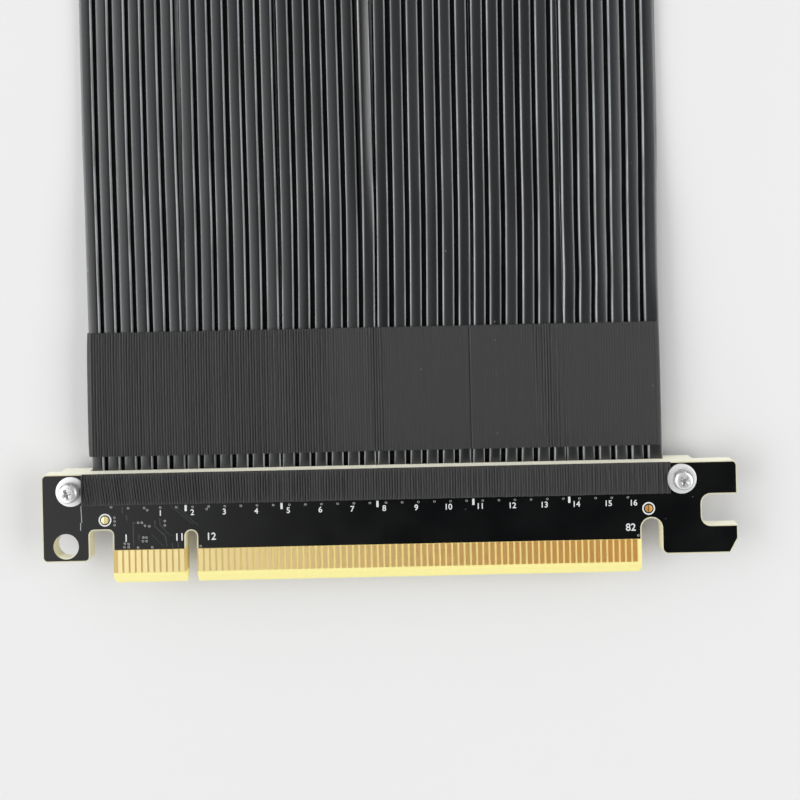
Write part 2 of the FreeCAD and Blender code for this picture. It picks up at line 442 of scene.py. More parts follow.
class Bench:
    """A material being wired, with its tree, its shader and the place on the object."""

    def __init__(self, made: bpy.types.Material) -> None:
        """Finds the shader and adds the place's coordinates.

        Args:
            made: The material.
        """
        self.tree = made.node_tree
        self.shader = self.tree.nodes["Principled BSDF"]
        self.place = self.tree.nodes.new("ShaderNodeTexCoord").outputs["Object"]

    def set(self, name: str, value: float | Colour) -> None:
        """Sets one of the shader's own sockets."""
        self.shader.inputs[name].default_value = value

    def effect(self, effect: Effect, **values: float) -> Outputs:
        """Places a shared effect with its own values.

        Args:
            effect: The effect.
            **values: Its inputs, with an underscore for each space.

        Returns:
            The effect's outputs.
        """
        node = self.tree.nodes.new("ShaderNodeGroup")
        node.node_tree = effect.tree()
        join(self.tree, self.place, node.inputs["Place"])
        for name, value in values.items():
            node.inputs[name.replace("_", " ")].default_value = value
        return node.outputs

    def blend(self, share: Socket, first: Colour | Socket, second: Colour | Socket) -> Socket:
        """Mixes two colours by a share that changes over the surface.

        Args:
            share: How much of the second colour there is.
            first: A colour or a socket.
            second: A colour or a socket.

        Returns:
            The mixed colour's socket.
        """
        node = self.tree.nodes.new("ShaderNodeMix")
        node.data_type = "RGBA"
        join(self.tree, share, node.inputs[0])
        give(self.tree, first, node.inputs[6])
        give(self.tree, second, node.inputs[7])
        return node.outputs[2]

    def feed(self, name: str, source: Socket) -> None:
        """Feeds one of the shader's sockets."""
        join(self.tree, source, self.shader.inputs[name])

    def sheen(self, pattern: Socket, span: Span) -> None:
        """Lets the roughness follow a pattern from its low to its high places."""
        self.feed("Roughness", ramp(self.tree, pattern, *PATTERN, *span))

    def bump(self, height: Socket, distance: float) -> None:
        """Turns a height into the shader's normal.

        Args:
            height: The height's socket.
            distance: The height's size in metres.
        """
        node = self.tree.nodes.new("ShaderNodeBump")
        node.inputs["Distance"].default_value = distance
        join(self.tree, height, node.inputs["Height"])
        self.feed("Normal", node.outputs[0])


@dataclass(frozen=True)
class Finish:
    """One finish of the part: a material with a Principled shader."""

    name: str

    def dress(self, work: Bench) -> None:
        """Wires the finish; each finish has its own way."""
        raise NotImplementedError

    def material(self) -> bpy.types.Material:
        """Builds the material once and finds it again afterwards.

        Returns:
            The material.
        """
        found = bpy.data.materials.get(self.name)
        if found:
            return found
        made = bpy.data.materials.new(self.name)
        made.use_nodes = True
        self.dress(Bench(made))
        return made


def grey(level: float, warm: float = 0.0) -> Colour:
    """Gives a grey of that level, warmer or colder by a share."""
    return (level * (1.0 + warm), level, level * (1.0 - warm), 1.0)


@dataclass(frozen=True)
class SolderMask(Finish):
    """Black solder mask over glass-fibre laminate."""

    name: str = "solder mask"
    bare_up_to: float = -1.0
    bare_from: float = -1.0
    bare_to: float = 1.0
    fingers_from: float = -1.0
    finger_foot: float = 0.1 * MM
    # painted light on the cut edges: the first pair is painted darker for edges facing sideways, the
    # second paler for edges facing along the cable
    shaded_edge: Pair = ((0.66, 0.62, 0.42, 1.0), (0.54, 0.50, 0.32, 1.0))
    snapped: Pair = ((0.98, 0.97, 0.82, 1.0), (0.90, 0.88, 0.71, 1.0))
    tip: Pair = ((0.97, 0.90, 0.40, 1.0), (0.88, 0.79, 0.28, 1.0))
    # painted shade on the laminate between the fingers, deepest at the left
    gap_shade: Pair = ((0.66, 0.50, 0.18, 1.0), (0.58, 0.43, 0.15, 1.0))
    gap_shade_run: Span = (-40.0 * MM, -5.0 * MM)
    black: Pair = (grey(0.0022, -0.12), grey(0.0036, -0.10))
    speck: Colour = grey(0.12)
    gloss: Span = (0.20, 0.28)
    bare_dulling: float = 0.4
    relief: float = 0.005 * MM

    def dress(self, work: Bench) -> None:
        """Shows the laminate at cut edges and round the fingers, and the mask elsewhere; cut edges are
        painted lighter where they face along the cable and darker elsewhere, and the laminate between
        the fingers gets painted shade towards the left.

        Args:
            work: The material being wired.
        """
        board = work.effect(
            Laminate(), Bare_up_to=self.bare_up_to, Bare_from=self.bare_from, Bare_to=self.bare_to
        )
        skin = work.effect(Grain(), Fineness=2600.0)
        dust = work.effect(Dust(), Specks=900.0, Share=0.015)
        cuts = (self.shaded_edge, self.snapped, self.tip, self.gap_shade)
        shaded_edge, snapped, tip, gap_shade = (work.blend(board["Tone"], *pair) for pair in cuts)
        at = axes(work.tree, work.place)
        # painted shade between the fingers, fading out towards the right
        between = work.blend(ramp(work.tree, at["X"], *self.gap_shade_run), gap_shade, tip)
        fingers = ramp(work.tree, at["Y"], self.fingers_from - self.finger_foot, self.fingers_from)
        straw = work.blend(fingers, tip, between)
        black = work.blend(skin["Tone"], *self.black)
        dusty = work.blend(dust["Mask"], black, self.speck)
        # painted light and shade on the cut edges, by the way they face
        cream = work.blend(board["Snapped"], shaded_edge, snapped)
        cut = work.blend(board["Edge"], dusty, cream)
        work.feed("Base Color", work.blend(board["Bare"], cut, straw))
        gloss = ramp(work.tree, skin["Tone"], *PATTERN, *self.gloss)
        bare = sums(work.tree, "MAXIMUM", board["Edge"], board["Bare"])
        matt = sums(work.tree, "MULTIPLY", bare, self.bare_dulling)
        work.feed("Roughness", sums(work.tree, "ADD", gloss, matt))
        work.bump(skin["Height"], self.relief)


@dataclass(frozen=True)
class Laminated(Finish):
    """Bare glass-fibre laminate."""

    name: str = "bare laminate"
    tones: Pair = ((0.78, 0.75, 0.55, 1.0), (0.58, 0.55, 0.38, 1.0))
    gloss: Span = (0.55, 0.70)
    relief: float = 0.006 * MM

    def dress(self, work: Bench) -> None:
        """Shows the fibres faintly.

        Args:
            work: The material being wired.
        """
        board = work.effect(Laminate())
        work.feed("Base Color", work.blend(board["Tone"], *self.tones))
        work.sheen(board["Tone"], self.gloss)
        work.bump(board["Tone"], self.relief)


@dataclass(frozen=True)
class Plain(Finish):
    """A finish of two close tones with a fine grain and, where asked, specks of dust."""

    tones: Pair = (grey(0.5), grey(0.5))
    gloss: Span = (0.5, 0.7)
    fineness: float = 4000.0
    draw: float = 1.0
    relief: float = 0.0
    specular: float = 0.5
    specks: float = 0.0
    speck_share: float = 0.0
    speck: Colour = grey(0.15)

    def dress(self, work: Bench) -> None:
        """Lets the tone and the sheen follow the grain.

        Args:
            work: The material being wired.
        """
        work.set("Specular IOR Level", self.specular)
        grain = work.effect(Grain(), Fineness=self.fineness, Draw=self.draw)
        colour = work.blend(grain["Tone"], *self.tones)
        if self.specks:
            dust = work.effect(Dust(), Specks=self.specks, Share=self.speck_share)
            colour = work.blend(dust["Mask"], colour, self.speck)
        work.feed("Base Color", colour)
        work.sheen(grain["Height"], self.gloss)
        if self.relief:
            work.bump(grain["Height"], self.relief)


@dataclass(frozen=True)
class MaskOverCopper(Plain):
    """Solder mask where it rises over copper, smooth and a little greyer than the rest."""

    name: str = "mask over copper"
    tones: Pair = (grey(0.014, -0.08), grey(0.026, -0.08))
    gloss: Span = (0.16, 0.26)
    fineness: float = 3200.0
    relief: float = 0.004 * MM


@dataclass(frozen=True)
class ShadedWeb(Plain):
    """Matt black web between the strips of a flat ribbon cable, nearly without shine, darker than the
    jacket as painted shade in the gaps between strips.
    """

    name: str = "cable web shade"
    tones: Pair = (grey(0.0045), grey(0.0085))
    gloss: Span = (0.62, 0.78)
    fineness: float = 4200.0
    draw: float = 30.0
    relief: float = 0.008 * MM
    specular: float = 0.12


@dataclass(frozen=True)
class MouldedPlastic(Plain):
    """Black glass-filled plastic with a fine moulded grain and a little dust."""

    name: str = "moulded plastic"
    tones: Pair = (grey(0.011), grey(0.019))
    gloss: Span = (0.40, 0.58)
    fineness: float = 7000.0
    relief: float = 0.012 * MM
    specks: float = 380.0
    speck_share: float = 0.04


@dataclass(frozen=True)
class WhiteInk(Plain):
    """White printing ink on the board, whose cover varies a little."""

    name: str = "white ink"
    tones: Pair = (grey(0.68, -0.02), grey(0.80, -0.02))
    fineness: float = 9000.0
    relief: float = 0.004 * MM


@dataclass(frozen=True)
class PaleFloor(Plain):
    """Plain pale floor, nearly even."""

    name: str = "pale floor"
    tones: Pair = (grey(0.78), grey(0.80))
    gloss: Span = (0.75, 0.85)
    fineness: float = 120.0


@dataclass(frozen=True)
class GoldPlate(Finish):
    """Gold flash over nickel with fine scuff marks along the insertion, paler at the left end of the row
    and deeper to the right as painted light falloff.
    """

    name: str = "gold plate"
    pale: Colour = (1.0, 0.84, 0.43, 1.0)
    deep: Colour = (0.93, 0.50, 0.145, 1.0)
    # painted light: the gold is paler on the left, where more light falls, and deeper to the right
    drift: Span = (-45.0 * MM, 40.0 * MM)
    gloss: Span = (0.44, 0.54)
    metallic: float = 0.85
    uneven: float = 0.10
    uneven_middle: float = 0.06
    relief: float = 0.0015 * MM

    def dress(self, work: Bench) -> None:
        """Drifts the gold's colour along the row as painted light falloff and draws fine scuff marks.

        Args:
            work: The material being wired.
        """
        work.set("Metallic", self.metallic)
        rub_and_edge_light = work.effect(Grain(), Fineness=9000.0, Draw=14.0)
        # painted light falloff along the row
        drift = ramp(work.tree, axes(work.tree, work.place)["X"], *self.drift)
        uneven = sums(work.tree, "MULTIPLY", rub_and_edge_light["Tone"], self.uneven)
        patchy = sums(work.tree, "SUBTRACT", uneven, self.uneven_middle)
        share = sums(work.tree, "ADD", drift, patchy, True)
        work.feed("Base Color", work.blend(share, self.pale, self.deep))
        work.sheen(rub_and_edge_light["Height"], self.gloss)
        work.bump(rub_and_edge_light["Height"], self.relief)


@dataclass(frozen=True)
class Nickel(Finish):
    """Nickel-plated steel, bright or brushed."""

    name: str = "nickel"
    level: float = 0.72
    gloss: Span = (0.18, 0.36)
    fineness: float = 5000.0
    # painted shade: the share of the level that the steep sides are darkened to
    painted_flank_shade: float = 0.5
    metallic: float = 0.8
    dark: float = 0.9
    light: float = 1.06
    warm: float = 0.01
    relief: float = 0.005 * MM

    def dress(self, work: Bench) -> None:
        """Varies the plating's tone and sheen a little and paints shade on the steep sides.

        Args:
            work: The material being wired.
        """
        work.set("Metallic", self.metallic)
        grain = work.effect(Grain(), Fineness=self.fineness)
        rub_and_edge_light = work.effect(PaintedEdgeLight())
        tones = (grey(self.level * self.dark, self.warm), grey(self.level * self.light, -self.warm))
        plate = work.blend(grain["Tone"], *tones)
        # painted shade on the steep sides
        work.feed("Base Color", work.blend(rub_and_edge_light["Mask"], plate, grey(self.level * self.painted_flank_shade)))
        work.sheen(grain["Height"], self.gloss)
        work.bump(grain["Height"], self.relief)


@dataclass(frozen=True)
class ClothTape(Finish):
    """Black acetate cloth tape."""

    name: str = "cloth tape"
    tones: Pair = (grey(0.008, -0.02), grey(0.036, -0.02))
    speck: Colour = grey(0.14)
    gloss: Span = (0.52, 0.68)
    fuzz: float = 0.05
    fuzz_roughness: float = 0.45
    relief: float = 0.018 * MM

    def dress(self, work: Bench) -> None:
        """Gives each thread its own tone and a matt sheen.

        Args:
            work: The material being wired.
        """
        work.set("Sheen Weight", self.fuzz)
        work.set("Sheen Roughness", self.fuzz_roughness)
        threads = work.effect(Threads(), Count=6000.0)
        dust = work.effect(Dust(), Specks=900.0, Share=0.02)
        cloth = work.blend(threads["Tone"], *self.tones)
        work.feed("Base Color", work.blend(dust["Mask"], cloth, self.speck))
        work.sheen(threads["Tone"], self.gloss)
        work.bump(threads["Height"], self.relief)


@dataclass(frozen=True)
class CableJacket(Finish):
    """Smooth black jacket of a flat ribbon cable."""

    name: str = "cable jacket"
    tones: Pair = (grey(0.009, -0.10), grey(0.018, -0.10))
    # painted highlight: pale colour on the strips' edges standing in for light caught there
    painted_edge_highlight: Colour = grey(0.42, -0.03)
    speck: Colour = grey(0.20)
    gloss: Span = (0.30, 0.42)
    specular: float = 0.85
    relief: float = 0.010 * MM

    def dress(self, work: Bench) -> None:
        """Adds drawn lines along the cable, painted highlights on the strips' rounded edges and upright
        sides, and a few specks of dust.

        Args:
            work: The material being wired.
        """
        work.set("Specular IOR Level", self.specular)
        drawn = work.effect(Grain(), Fineness=5200.0, Draw=40.0)
        dust = work.effect(Dust(), Specks=900.0, Share=0.012)
        rub_and_edge_light = work.effect(PaintedEdgeLight())
        black = work.blend(drawn["Tone"], *self.tones)
        # painted highlight on the strips' edges, where the edge mask is
        highlighted = work.blend(rub_and_edge_light["Mask"], black, self.painted_edge_highlight)
        work.feed("Base Color", work.blend(dust["Mask"], highlighted, self.speck))
        work.sheen(drawn["Tone"], self.gloss)
        work.bump(drawn["Height"], self.relief)


# Mesh helpers


def raised(height: float) -> Vector:
    """Gives an upright step of that height."""
    return Vector((0.0, 0.0, height))


def metres(profile: tuple[Span, ...]) -> list[Span]:
    """Turns a profile in millimetres into one in metres."""
    return [(radius * MM, height * MM) for radius, height in profile]


def smooth_step(value: float, low: float, high: float) -> float:
    """Rises softly from 0 at low to 1 at high."""
    share = min(1.0, max(0.0, (value - low) / (high - low)))
    return share * share * (3.0 - 2.0 * share)


def bell(value: float, width: float) -> float:
    """Falls softly from 1 at 0 to almost nothing at twice the width."""
    return math.exp(-((value / width) ** 2))


def lathe(profile: list[Span], middle: Vector, turns: int) -> Rings:
    """Turns a profile round an upright axis.

    Args:
        profile: Radius and height of each ring.
        middle: The axis's foot.
        turns: How many points each ring has.

    Returns:
        The rings.
    """
    rings = []
    for radius, height in profile:
        ring = []
        for i in range(turns):
            a = 2.0 * math.pi * i / turns
            ring.append(middle + Vector((radius * math.cos(a), radius * math.sin(a), height)))
        rings.append(ring)
    return rings


def new_object(name: str, data: bpy.types.ID) -> bpy.types.Object:
    """Puts a new object into the scene.

    Args:
        name: The object's name.
        data: Its mesh, lamp or camera.

    Returns:
        The object.
    """
    made = bpy.data.objects.new(name, data)
    bpy.context.scene.collection.objects.link(made)
    return made


def curve_mesh(data: bpy.types.Curve) -> bpy.types.Mesh:
    """Turns a curve into a mesh and drops the curve.

    Args:
        data: The curve.

    Returns:
        The mesh.
    """
    holder = bpy.data.objects.new(data.name, data)
    made = bpy.data.meshes.new_from_object(holder)
    bpy.data.objects.remove(holder)
    bpy.data.curves.remove(data)
    return made


@dataclass
class Shape:
    """Points and faces gathered for one piece."""

    points: list[Vector] = field(default_factory=list)
    faces: list[tuple[int, ...]] = field(default_factory=list)

    def loft(self, rings: Rings, capped: bool = True) -> None:
        """Joins rings of equal count into a skin.

        Args:
            rings: The rings, in order along the piece.
            capped: Whether the first and last rings are closed off.
        """
        start, count = len(self.points), len(rings[0])
        for ring in rings:
            self.points.extend(ring)
        for row in range(len(rings) - 1):
            low, high = start + row * count, start + (row + 1) * count
            for i in range(count):
                j = (i + 1) % count
                self.faces.append((low + i, low + j, high + j, high + i))
        if capped:
            last = start + (len(rings) - 1) * count
            self.faces.append(tuple(range(start + count - 1, start - 1, -1)))
            self.faces.append(tuple(range(last, last + count)))

    def tube(self, rings: Rings) -> None:
        """Joins rings end to end, the last one back to the first."""
        self.loft(rings + rings[:1], capped=False)

    def take(self, other: bpy.types.Mesh, place: Matrix) -> None:
        """Adds a mesh's points and faces at a place.

        Args:
            other: The mesh.
            place: Where it goes.
        """
        start = len(self.points)
        self.points.extend(place @ v.co for v in other.vertices)
        self.faces.extend(tuple(start + i for i in p.vertices) for p in other.polygons)

    def mesh(self, name: str, smooth: float = SHARP) -> bpy.types.Mesh:
        """Makes the mesh, with faces turned outwards and sharp edges kept.

        Args:
            name: The mesh's name.
            smooth: The angle in degrees above which an edge stays sharp.

        Returns:
            The mesh.
        """
        made = bpy.data.meshes.new(name)
        made.from_pydata([tuple(p) for p in self.points], [], self.faces)
        work = bmesh.new()
        work.from_mesh(made)
        bmesh.ops.remove_doubles(work, verts=work.verts, dist=SAME_POINT)
        bmesh.ops.recalc_face_normals(work, faces=work.faces)
        work.to_mesh(made)
        work.free()
        made.polygons.foreach_set("use_smooth", [True] * len(made.polygons))
        made.set_sharp_from_angle(angle=math.radians(smooth))
        return made


def place_piece(
    name: str,
    shape: Shape,
    finish: Finish,
    replaced: tuple[str, ...] = (),
    smooth: float = SHARP,
) -> bpy.types.Object:
    """Puts a piece on the part, dressed and riding on its body.

    Args:
        name: The piece's name.
        shape: Its points and faces, in the part's own frame.
        finish: Its finish.
        replaced: The solids that it stands for.
        smooth: The angle in degrees above which an edge stays sharp.

    Returns:
        The piece.
    """
    mesh = shape.mesh(name, smooth)
    mesh.materials.append(finish.material())
    made = new_object(name, mesh)
    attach(made, BODY)
    if replaced:
        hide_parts(*replaced)
    LOG.info("%s: %d faces", name, len(mesh.polygons))
    return made


def dress_node(node: str, finish: Finish, bevel: float = 0.0) -> None:
    """Gives one of the part's own solids its finish, with softened edges where asked.

    Args:
        node: The solid's name.
        finish: Its finish.
        bevel: The width of the softened edges, in metres.
    """
    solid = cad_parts[node]
    solid.data.materials.clear()
    solid.data.materials.append(finish.material())
    if bevel:
        solid.modifiers.new("joined corners", "WELD").merge_threshold = SAME_CORNER
        soft = solid.modifiers.new("softened edges", "BEVEL")
        soft.width = bevel
        soft.segments = 2
        soft.limit_method = "ANGLE"
        soft.angle_limit = math.radians(SOFTENED)
        solid.modifiers.new("flat faces", "EDGE_SPLIT").split_angle = math.radians(FLAT)
    LOG.info("%s: dressed", node)


# Studio


@dataclass
class Studio:
    """The photograph's camera, a pale floor and soft light from all round."""

    eye: Point = (0.00498, -0.041095, 0.10972)
    roll: float = -1.245
    focal: float = 29.277
    sensor: float = 36.0
    shift_x: float = -0.01875
    shift_y: float = -0.1875
    nearest: float = 5.0 * MM
    overhead: tuple[float, ...] = (0.22, 0.75, 1.0, 0.030)
    on_the_left: tuple[float, ...] = (-0.05, -0.50, 0.0, 0.92)
    behind: tuple[float, ...] = (0.20, 0.70, 0.0, 0.24)
    lamps: tuple[tuple[str, float, float], ...] = (
        ("left soft box", -0.83, 3.5), ("right soft box", 0.83, 4.0),
    )
    lamp_width: float = 0.94
    lamp_depth: float = 0.433
    lamp_height: float = 0.487
    lamp_row: float = -0.03
    floor_size: float = 3.0
    floor_gap: float = 0.2 * MM

    def build(self) -> None:
        """Sets up the camera, the light and the floor."""
        self.camera()
        self.sky()
        for name, x, level in self.lamps:
            self.soft_box(name, Vector((x, self.lamp_row, self.lamp_height)), level)
        self.floor()
        bpy.context.scene.view_settings.view_transform = "Standard"

    def camera(self) -> None:
        """Looks straight down on the plug end."""
        data = bpy.data.cameras.new("photo camera")
        data.lens = self.focal
        data.sensor_width = self.sensor
        data.shift_x = self.shift_x
        data.shift_y = self.shift_y
        data.clip_start = self.nearest
        eye = new_object("photo camera", data)
        eye.location = self.eye
        eye.rotation_euler = (0.0, 0.0, math.radians(self.roll))
        bpy.context.scene.camera = eye

    def sky(self) -> None:
        """Makes a white sky that is dim overhead and brighter low down, on the left and behind."""
        world = bpy.data.worlds.new("studio")
        world.use_nodes = True
        tree = world.node_tree
        back = tree.nodes["Background"]
        way = axes(tree, tree.nodes.new("ShaderNodeTexCoord").outputs["Generated"])
        glow = ramp(tree, way["X"], *self.on_the_left)
        both = sums(tree, "ADD", glow, ramp(tree, way["Y"], *self.behind))
        base = ramp(tree, way["Z"], *self.overhead)
        join(tree, sums(tree, "ADD", base, both), back.inputs["Strength"])
        back.inputs["Color"].default_value = grey(1.0)
        bpy.context.scene.world = world

    def soft_box(self, name: str, at: Vector, level: float) -> None:
        """Hangs a soft box that looks at the middle of the view.

        Args:
            name: The lamp's name.
            at: Where it hangs.
            level: Its brightness, where 1 is a white surface.
        """
        data = bpy.data.lights.new(name, "AREA")
        data.shape = "RECTANGLE"
        data.size, data.size_y = self.lamp_width, self.lamp_depth
        data.energy = level * math.pi * data.size * data.size_y
        lamp = new_object(name, data)
        lamp.location = at
        aim = Vector((0.0, self.lamp_row, 0.0)) - at
        lamp.rotation_euler = aim.to_track_quat("-Z", "Y").to_euler()

    def floor(self) -> None:
        """Lays the floor just under the part."""
        half = self.floor_size / 2.0
        corners = ((-half, -half), (half, -half), (half, half), (-half, half))
        shape = Shape([Vector((x, y, -self.floor_gap)) for x, y in corners], [(0, 1, 2, 3)])
        mesh = shape.mesh("floor")
        mesh.materials.append(PaleFloor().material())
        new_object("floor", mesh)


# Ribbon cables


@dataclass
class Ribbon:
    """One flat ribbon cable of six jacketed strips joined by thin webs.

    sway, lean, lip and tuck are in mm, rolls, shoulder and the twists in degrees and all else in metres.
    """

    number: int
    middle: float
    sway: tuple[float, ...] = (0.0, 0.0, 0.0, 0.0)
    spread: float = 0.0
    rolls: tuple[float, ...] = (0.0, 0.0, 0.0, 0.0, 0.0, 0.0)
    lean: float = 0.0
    lip: float = 0.0
    tuck: float = 0.0
    strips: int = 6
    pitch: float = 2.67 * MM
    strip_width: float = 1.90 * MM
    thickness: float = 1.0 * MM
    corner: float = 0.36 * MM
    corner_steps: int = 6
    shoulder: float = 8.0
    crown: Span = (0.65, 0.3)
    web_low: float = -0.44 * MM
    web_high: float = -0.32 * MM
    flange: float = 0.06 * MM
    skirt: float = 0.24 * MM
    wall: float = 0.16 * MM
    run: tuple[float, ...] = (-0.080725, -0.043125, -0.021125, 0.018875, 0.040875, 0.078475)
    rise: tuple[float, ...] = (0.0027, 0.0027, 0.00055, 0.00055, 0.0027, 0.0027)
    line_steps: int = 32
    free_from: Span = (6.0 * MM, 16.0 * MM)
    clear_from: Span = (27.0 * MM, 36.0 * MM)
    loose_from: Span = (25.0 * MM, 62.0 * MM)
    early_lean: float = 0.1
    twist: float = 2.0
    stray: float = 0.05 * MM
    wave_length: float = 19.0 * MM
    wave_twist: float = 1.6
    wave_lift: float = 0.02 * MM
    seed_step: int = 31

    def width(self) -> float:
        """Returns the ribbon's width over all its strips."""
        return (self.strips - 1) * self.pitch + self.strip_width

    def route(self) -> list[Vector]:
        """Reads the points of the ribbon's smooth line.

        Returns:
            The points from the plug end to the slot end.
        """
        data = bpy.data.curves.new(f"ribbon line {self.number}", "CURVE")
        data.dimensions = "3D"
        line = data.splines.new("NURBS")
        line.points.add(len(self.run) - 1)
        sways = (0.0, *self.sway, 0.0)
        for point, along, high, side in zip(line.points, self.run, self.rise, sways):
            point.co = (self.middle + side * MM, along, high, 1.0)
        line.order_u = 3
        line.use_endpoint_u = True
        line.resolution_u = self.line_steps
        mesh = curve_mesh(data)
        points = [v.co.copy() for v in mesh.vertices]
        bpy.data.meshes.remove(mesh)
        return points

    def half_outline(self, top: bool) -> list[Span]:
        """Draws a strip's upper or lower half from left to right, with a slight crown.

        Args:
            top: Whether it is the upper half.

        Returns:
            Points across the strip, about its middle.
        """
        half, high = self.strip_width / 2.0, self.thickness / 2.0
        foot = self.web_high if top else self.web_low
        sign = 1.0 if top else -1.0
        slope = math.radians(self.shoulder)
        broad = (half - self.corner * (1.0 - math.sin(slope))) / math.sin(slope)
        hub_x = (broad - self.corner) * math.sin(slope)
        hub_z = high - broad + (broad - self.corner) * math.cos(slope)
        left = [(-half, foot + sign * self.wall)]
        for step in range(self.corner_steps + 1):
            a = math.pi / 2.0 + (slope - math.pi / 2.0) * step / self.corner_steps
            z = hub_z + self.corner * math.cos(a)
            left.append((-hub_x - self.corner * math.sin(a), sign * z))
        for share in self.crown:
            a = slope * share
            left.append((-broad * math.sin(a), sign * (high - broad + broad * math.cos(a))))
        if not top:
            left = [p for p in left if p[1] < foot]
        left.insert(0, (-half, foot))
        right = [(-x, z) for x, z in reversed(left)]
        return left + [(0.0, sign * high)] + right

    def eased(self, along: float, length: float, reach: Span) -> float:
        """Gives a share that rises from 0 to 1 over a reach from either end of the line."""
        return smooth_step(along, *reach) * smooth_step(length - along, *reach)

    def ring(self, at: Vector, way: Vector, along: float, length: float) -> list[Vector]:
        """Draws the ribbon's outline at one point of its line.

        Args:
            at: The point.
            way: The line's direction there.
            along: How far along the line it is.
            length: The line's whole length.

        Returns:
            The outline's points.
        """
        side = way.cross(raised(1.0)).normalized()
        up = side.cross(way).normalized()
        free = self.eased(along, length, self.free_from)
        clear = self.eased(along, length, self.clear_from)
        loose = self.eased(along, length, self.loose_from)
        last = self.strips - 1
        pitch = self.pitch * (1.0 + self.spread * loose)
        over = self.lean * (self.early_lean * free + (1.0 - self.early_lean) * clear) * MM
        slant = math.atan(over / (pitch * last))
        upper, lower = [], []
        for strip in range(self.strips):
            draw = random.Random(self.number * self.seed_step + strip)
            turn, lift, slide = draw.uniform(-1, 1), draw.uniform(0, 1), draw.uniform(-1, 1)
            wave = math.sin(along / self.wave_length + draw.uniform(*PHASES))
            tipped = loose * math.radians(self.rolls[strip])
            roll = free * math.radians(self.twist * turn + self.wave_twist * wave) + tipped + slant
            offset = (strip - last / 2.0) * pitch + free * slide * self.stray
            height = free * (lift * self.stray + wave * self.wave_lift)
            height += abs(math.sin(tipped)) * self.strip_width / 2.0
            height += over * (1.0 - strip / last)
            lip = 0.0
            if strip == last:
                height -= self.tuck * MM * free * (1.0 - loose)
                lip = self.lip * MM
            for top, into in ((True, upper), (False, lower)):
                points = []
                for x, z in self.half_outline(top):
                    x += lip if x > 0.0 else 0.0
                    across = x * math.cos(roll) + z * math.sin(roll)
                    above = z * math.cos(roll) - x * math.sin(roll)
                    points.append(at + side * (offset + across) + up * (height + above))
                into.append(points)
        rim = side * (self.flange + self.skirt * loose)
        outline = [upper[0][0] - rim]
        for points in upper:
            outline.extend(points)
        outline += [upper[-1][-1] + rim, lower[-1][-1] + rim]
        for points in reversed(lower):
            outline.extend(reversed(points))
        return outline + [lower[0][0] - rim]

    def build(self) -> bpy.types.Object:
        """Returns:
            The ribbon.
        """
        points = self.route()
        steps = [0.0]
        for first, second in zip(points, points[1:]):
            steps.append(steps[-1] + (second - first).length)
        rings = []
        for i, at in enumerate(points):
            before, after = points[max(0, i - 1)], points[min(len(points) - 1, i + 1)]
            rings.append(self.ring(at, (after - before).normalized(), steps[i], steps[-1]))
        shape = Shape()
        shape.loft(rings)
        node = f"ribbon_{self.number}"
        name = f"ribbon_cable_{self.number}"
        made = place_piece(name, shape, CableJacket(), (node,))
        self.shade(made.data, len(rings), len(rings[0]))
        self.width()
        return made

    def shade(self, mesh: bpy.types.Mesh, rows: int, count: int) -> None:
        """Gives the webs and the feet of the strips their duller, darker finish, painted shade in the
        gaps between strips.

        Args:
            mesh: The ribbon's mesh.
            rows: How many rings it has.
            count: How many points each ring has.
        """
        # painted shade: the web finish darkens the gaps between strips
        mesh.materials.append(ShadedWeb().material())
        points = len(self.half_outline(True))
        columns = {0}
        for strip in range(self.strips):
            start = 1 + strip * points
            columns |= {start, start + points - 2, start + points - 1}
        for face in mesh.polygons:
            if face.index < (rows - 1) * count and face.index % count in columns:
                face.material_index = 1


def ribbon_set() -> list[Ribbon]:
    """Lists the six ribbons with their middles and the sideways drift of their lines in mm.

    Returns:
        The ribbons from left to right.
    """
    tipped_last = (0.0, 0.0, 0.0, 0.0, 0.0, 27.0)
    tipped_two = (0.0, 0.0, 6.0, 0.0, 4.0, 0.0)
    return [
        Ribbon(1, -0.041079, (-0.30, -1.52, -1.58, -0.20), spread=0.012),
        Ribbon(2, -0.025488, (0.32, -0.50, -0.60, 0.10), spread=0.012),
        Ribbon(3, -0.009896, (0.68, 0.30, 0.10, 0.25), spread=0.020, rolls=tipped_last),
        Ribbon(4, 0.005696, (0.78, 0.85, 1.00, 0.20), spread=0.020, rolls=tipped_two),
        Ribbon(5, 0.021287, (1.02, 1.33, 1.66, 0.00), spread=0.012, tuck=0.3),
        Ribbon(6, 0.036879, (-0.35, 0.60, 0.62, 0.20), spread=0.036, lean=1.2, lip=0.45),
    ]


# Tape


@dataclass
class Ribs:
    """The fine ribs of a woven tape, uneven in width and height."""

    low: float
    high: float
    seed: int
    widths: Span = (0.420 * MM, 0.450 * MM)
    height: float = 0.20 * MM
    heights: Span = (0.65, 1.15)
    lie: tuple[Span, ...] = ((-0.5, 0.0), (-0.22, 0.72), (0.04, 1.0), (0.3, 0.55))

    def columns(self) -> list[Span]:
        """Lays the ribs side by side.

        Returns:
            The place across and the height of each column of points.
        """
        draw = random.Random(self.seed)
        made, at = [], self.low
        while at < self.high:
            width = draw.uniform(*self.widths)
            tall = self.height * draw.uniform(*self.heights)
            for share, level in self.lie:
                x = at + (share + 0.5) * width
                if x <= self.high:
                    made.append((x, tall * level))
            at += width
        made.append((self.high, 0.0))
        return made


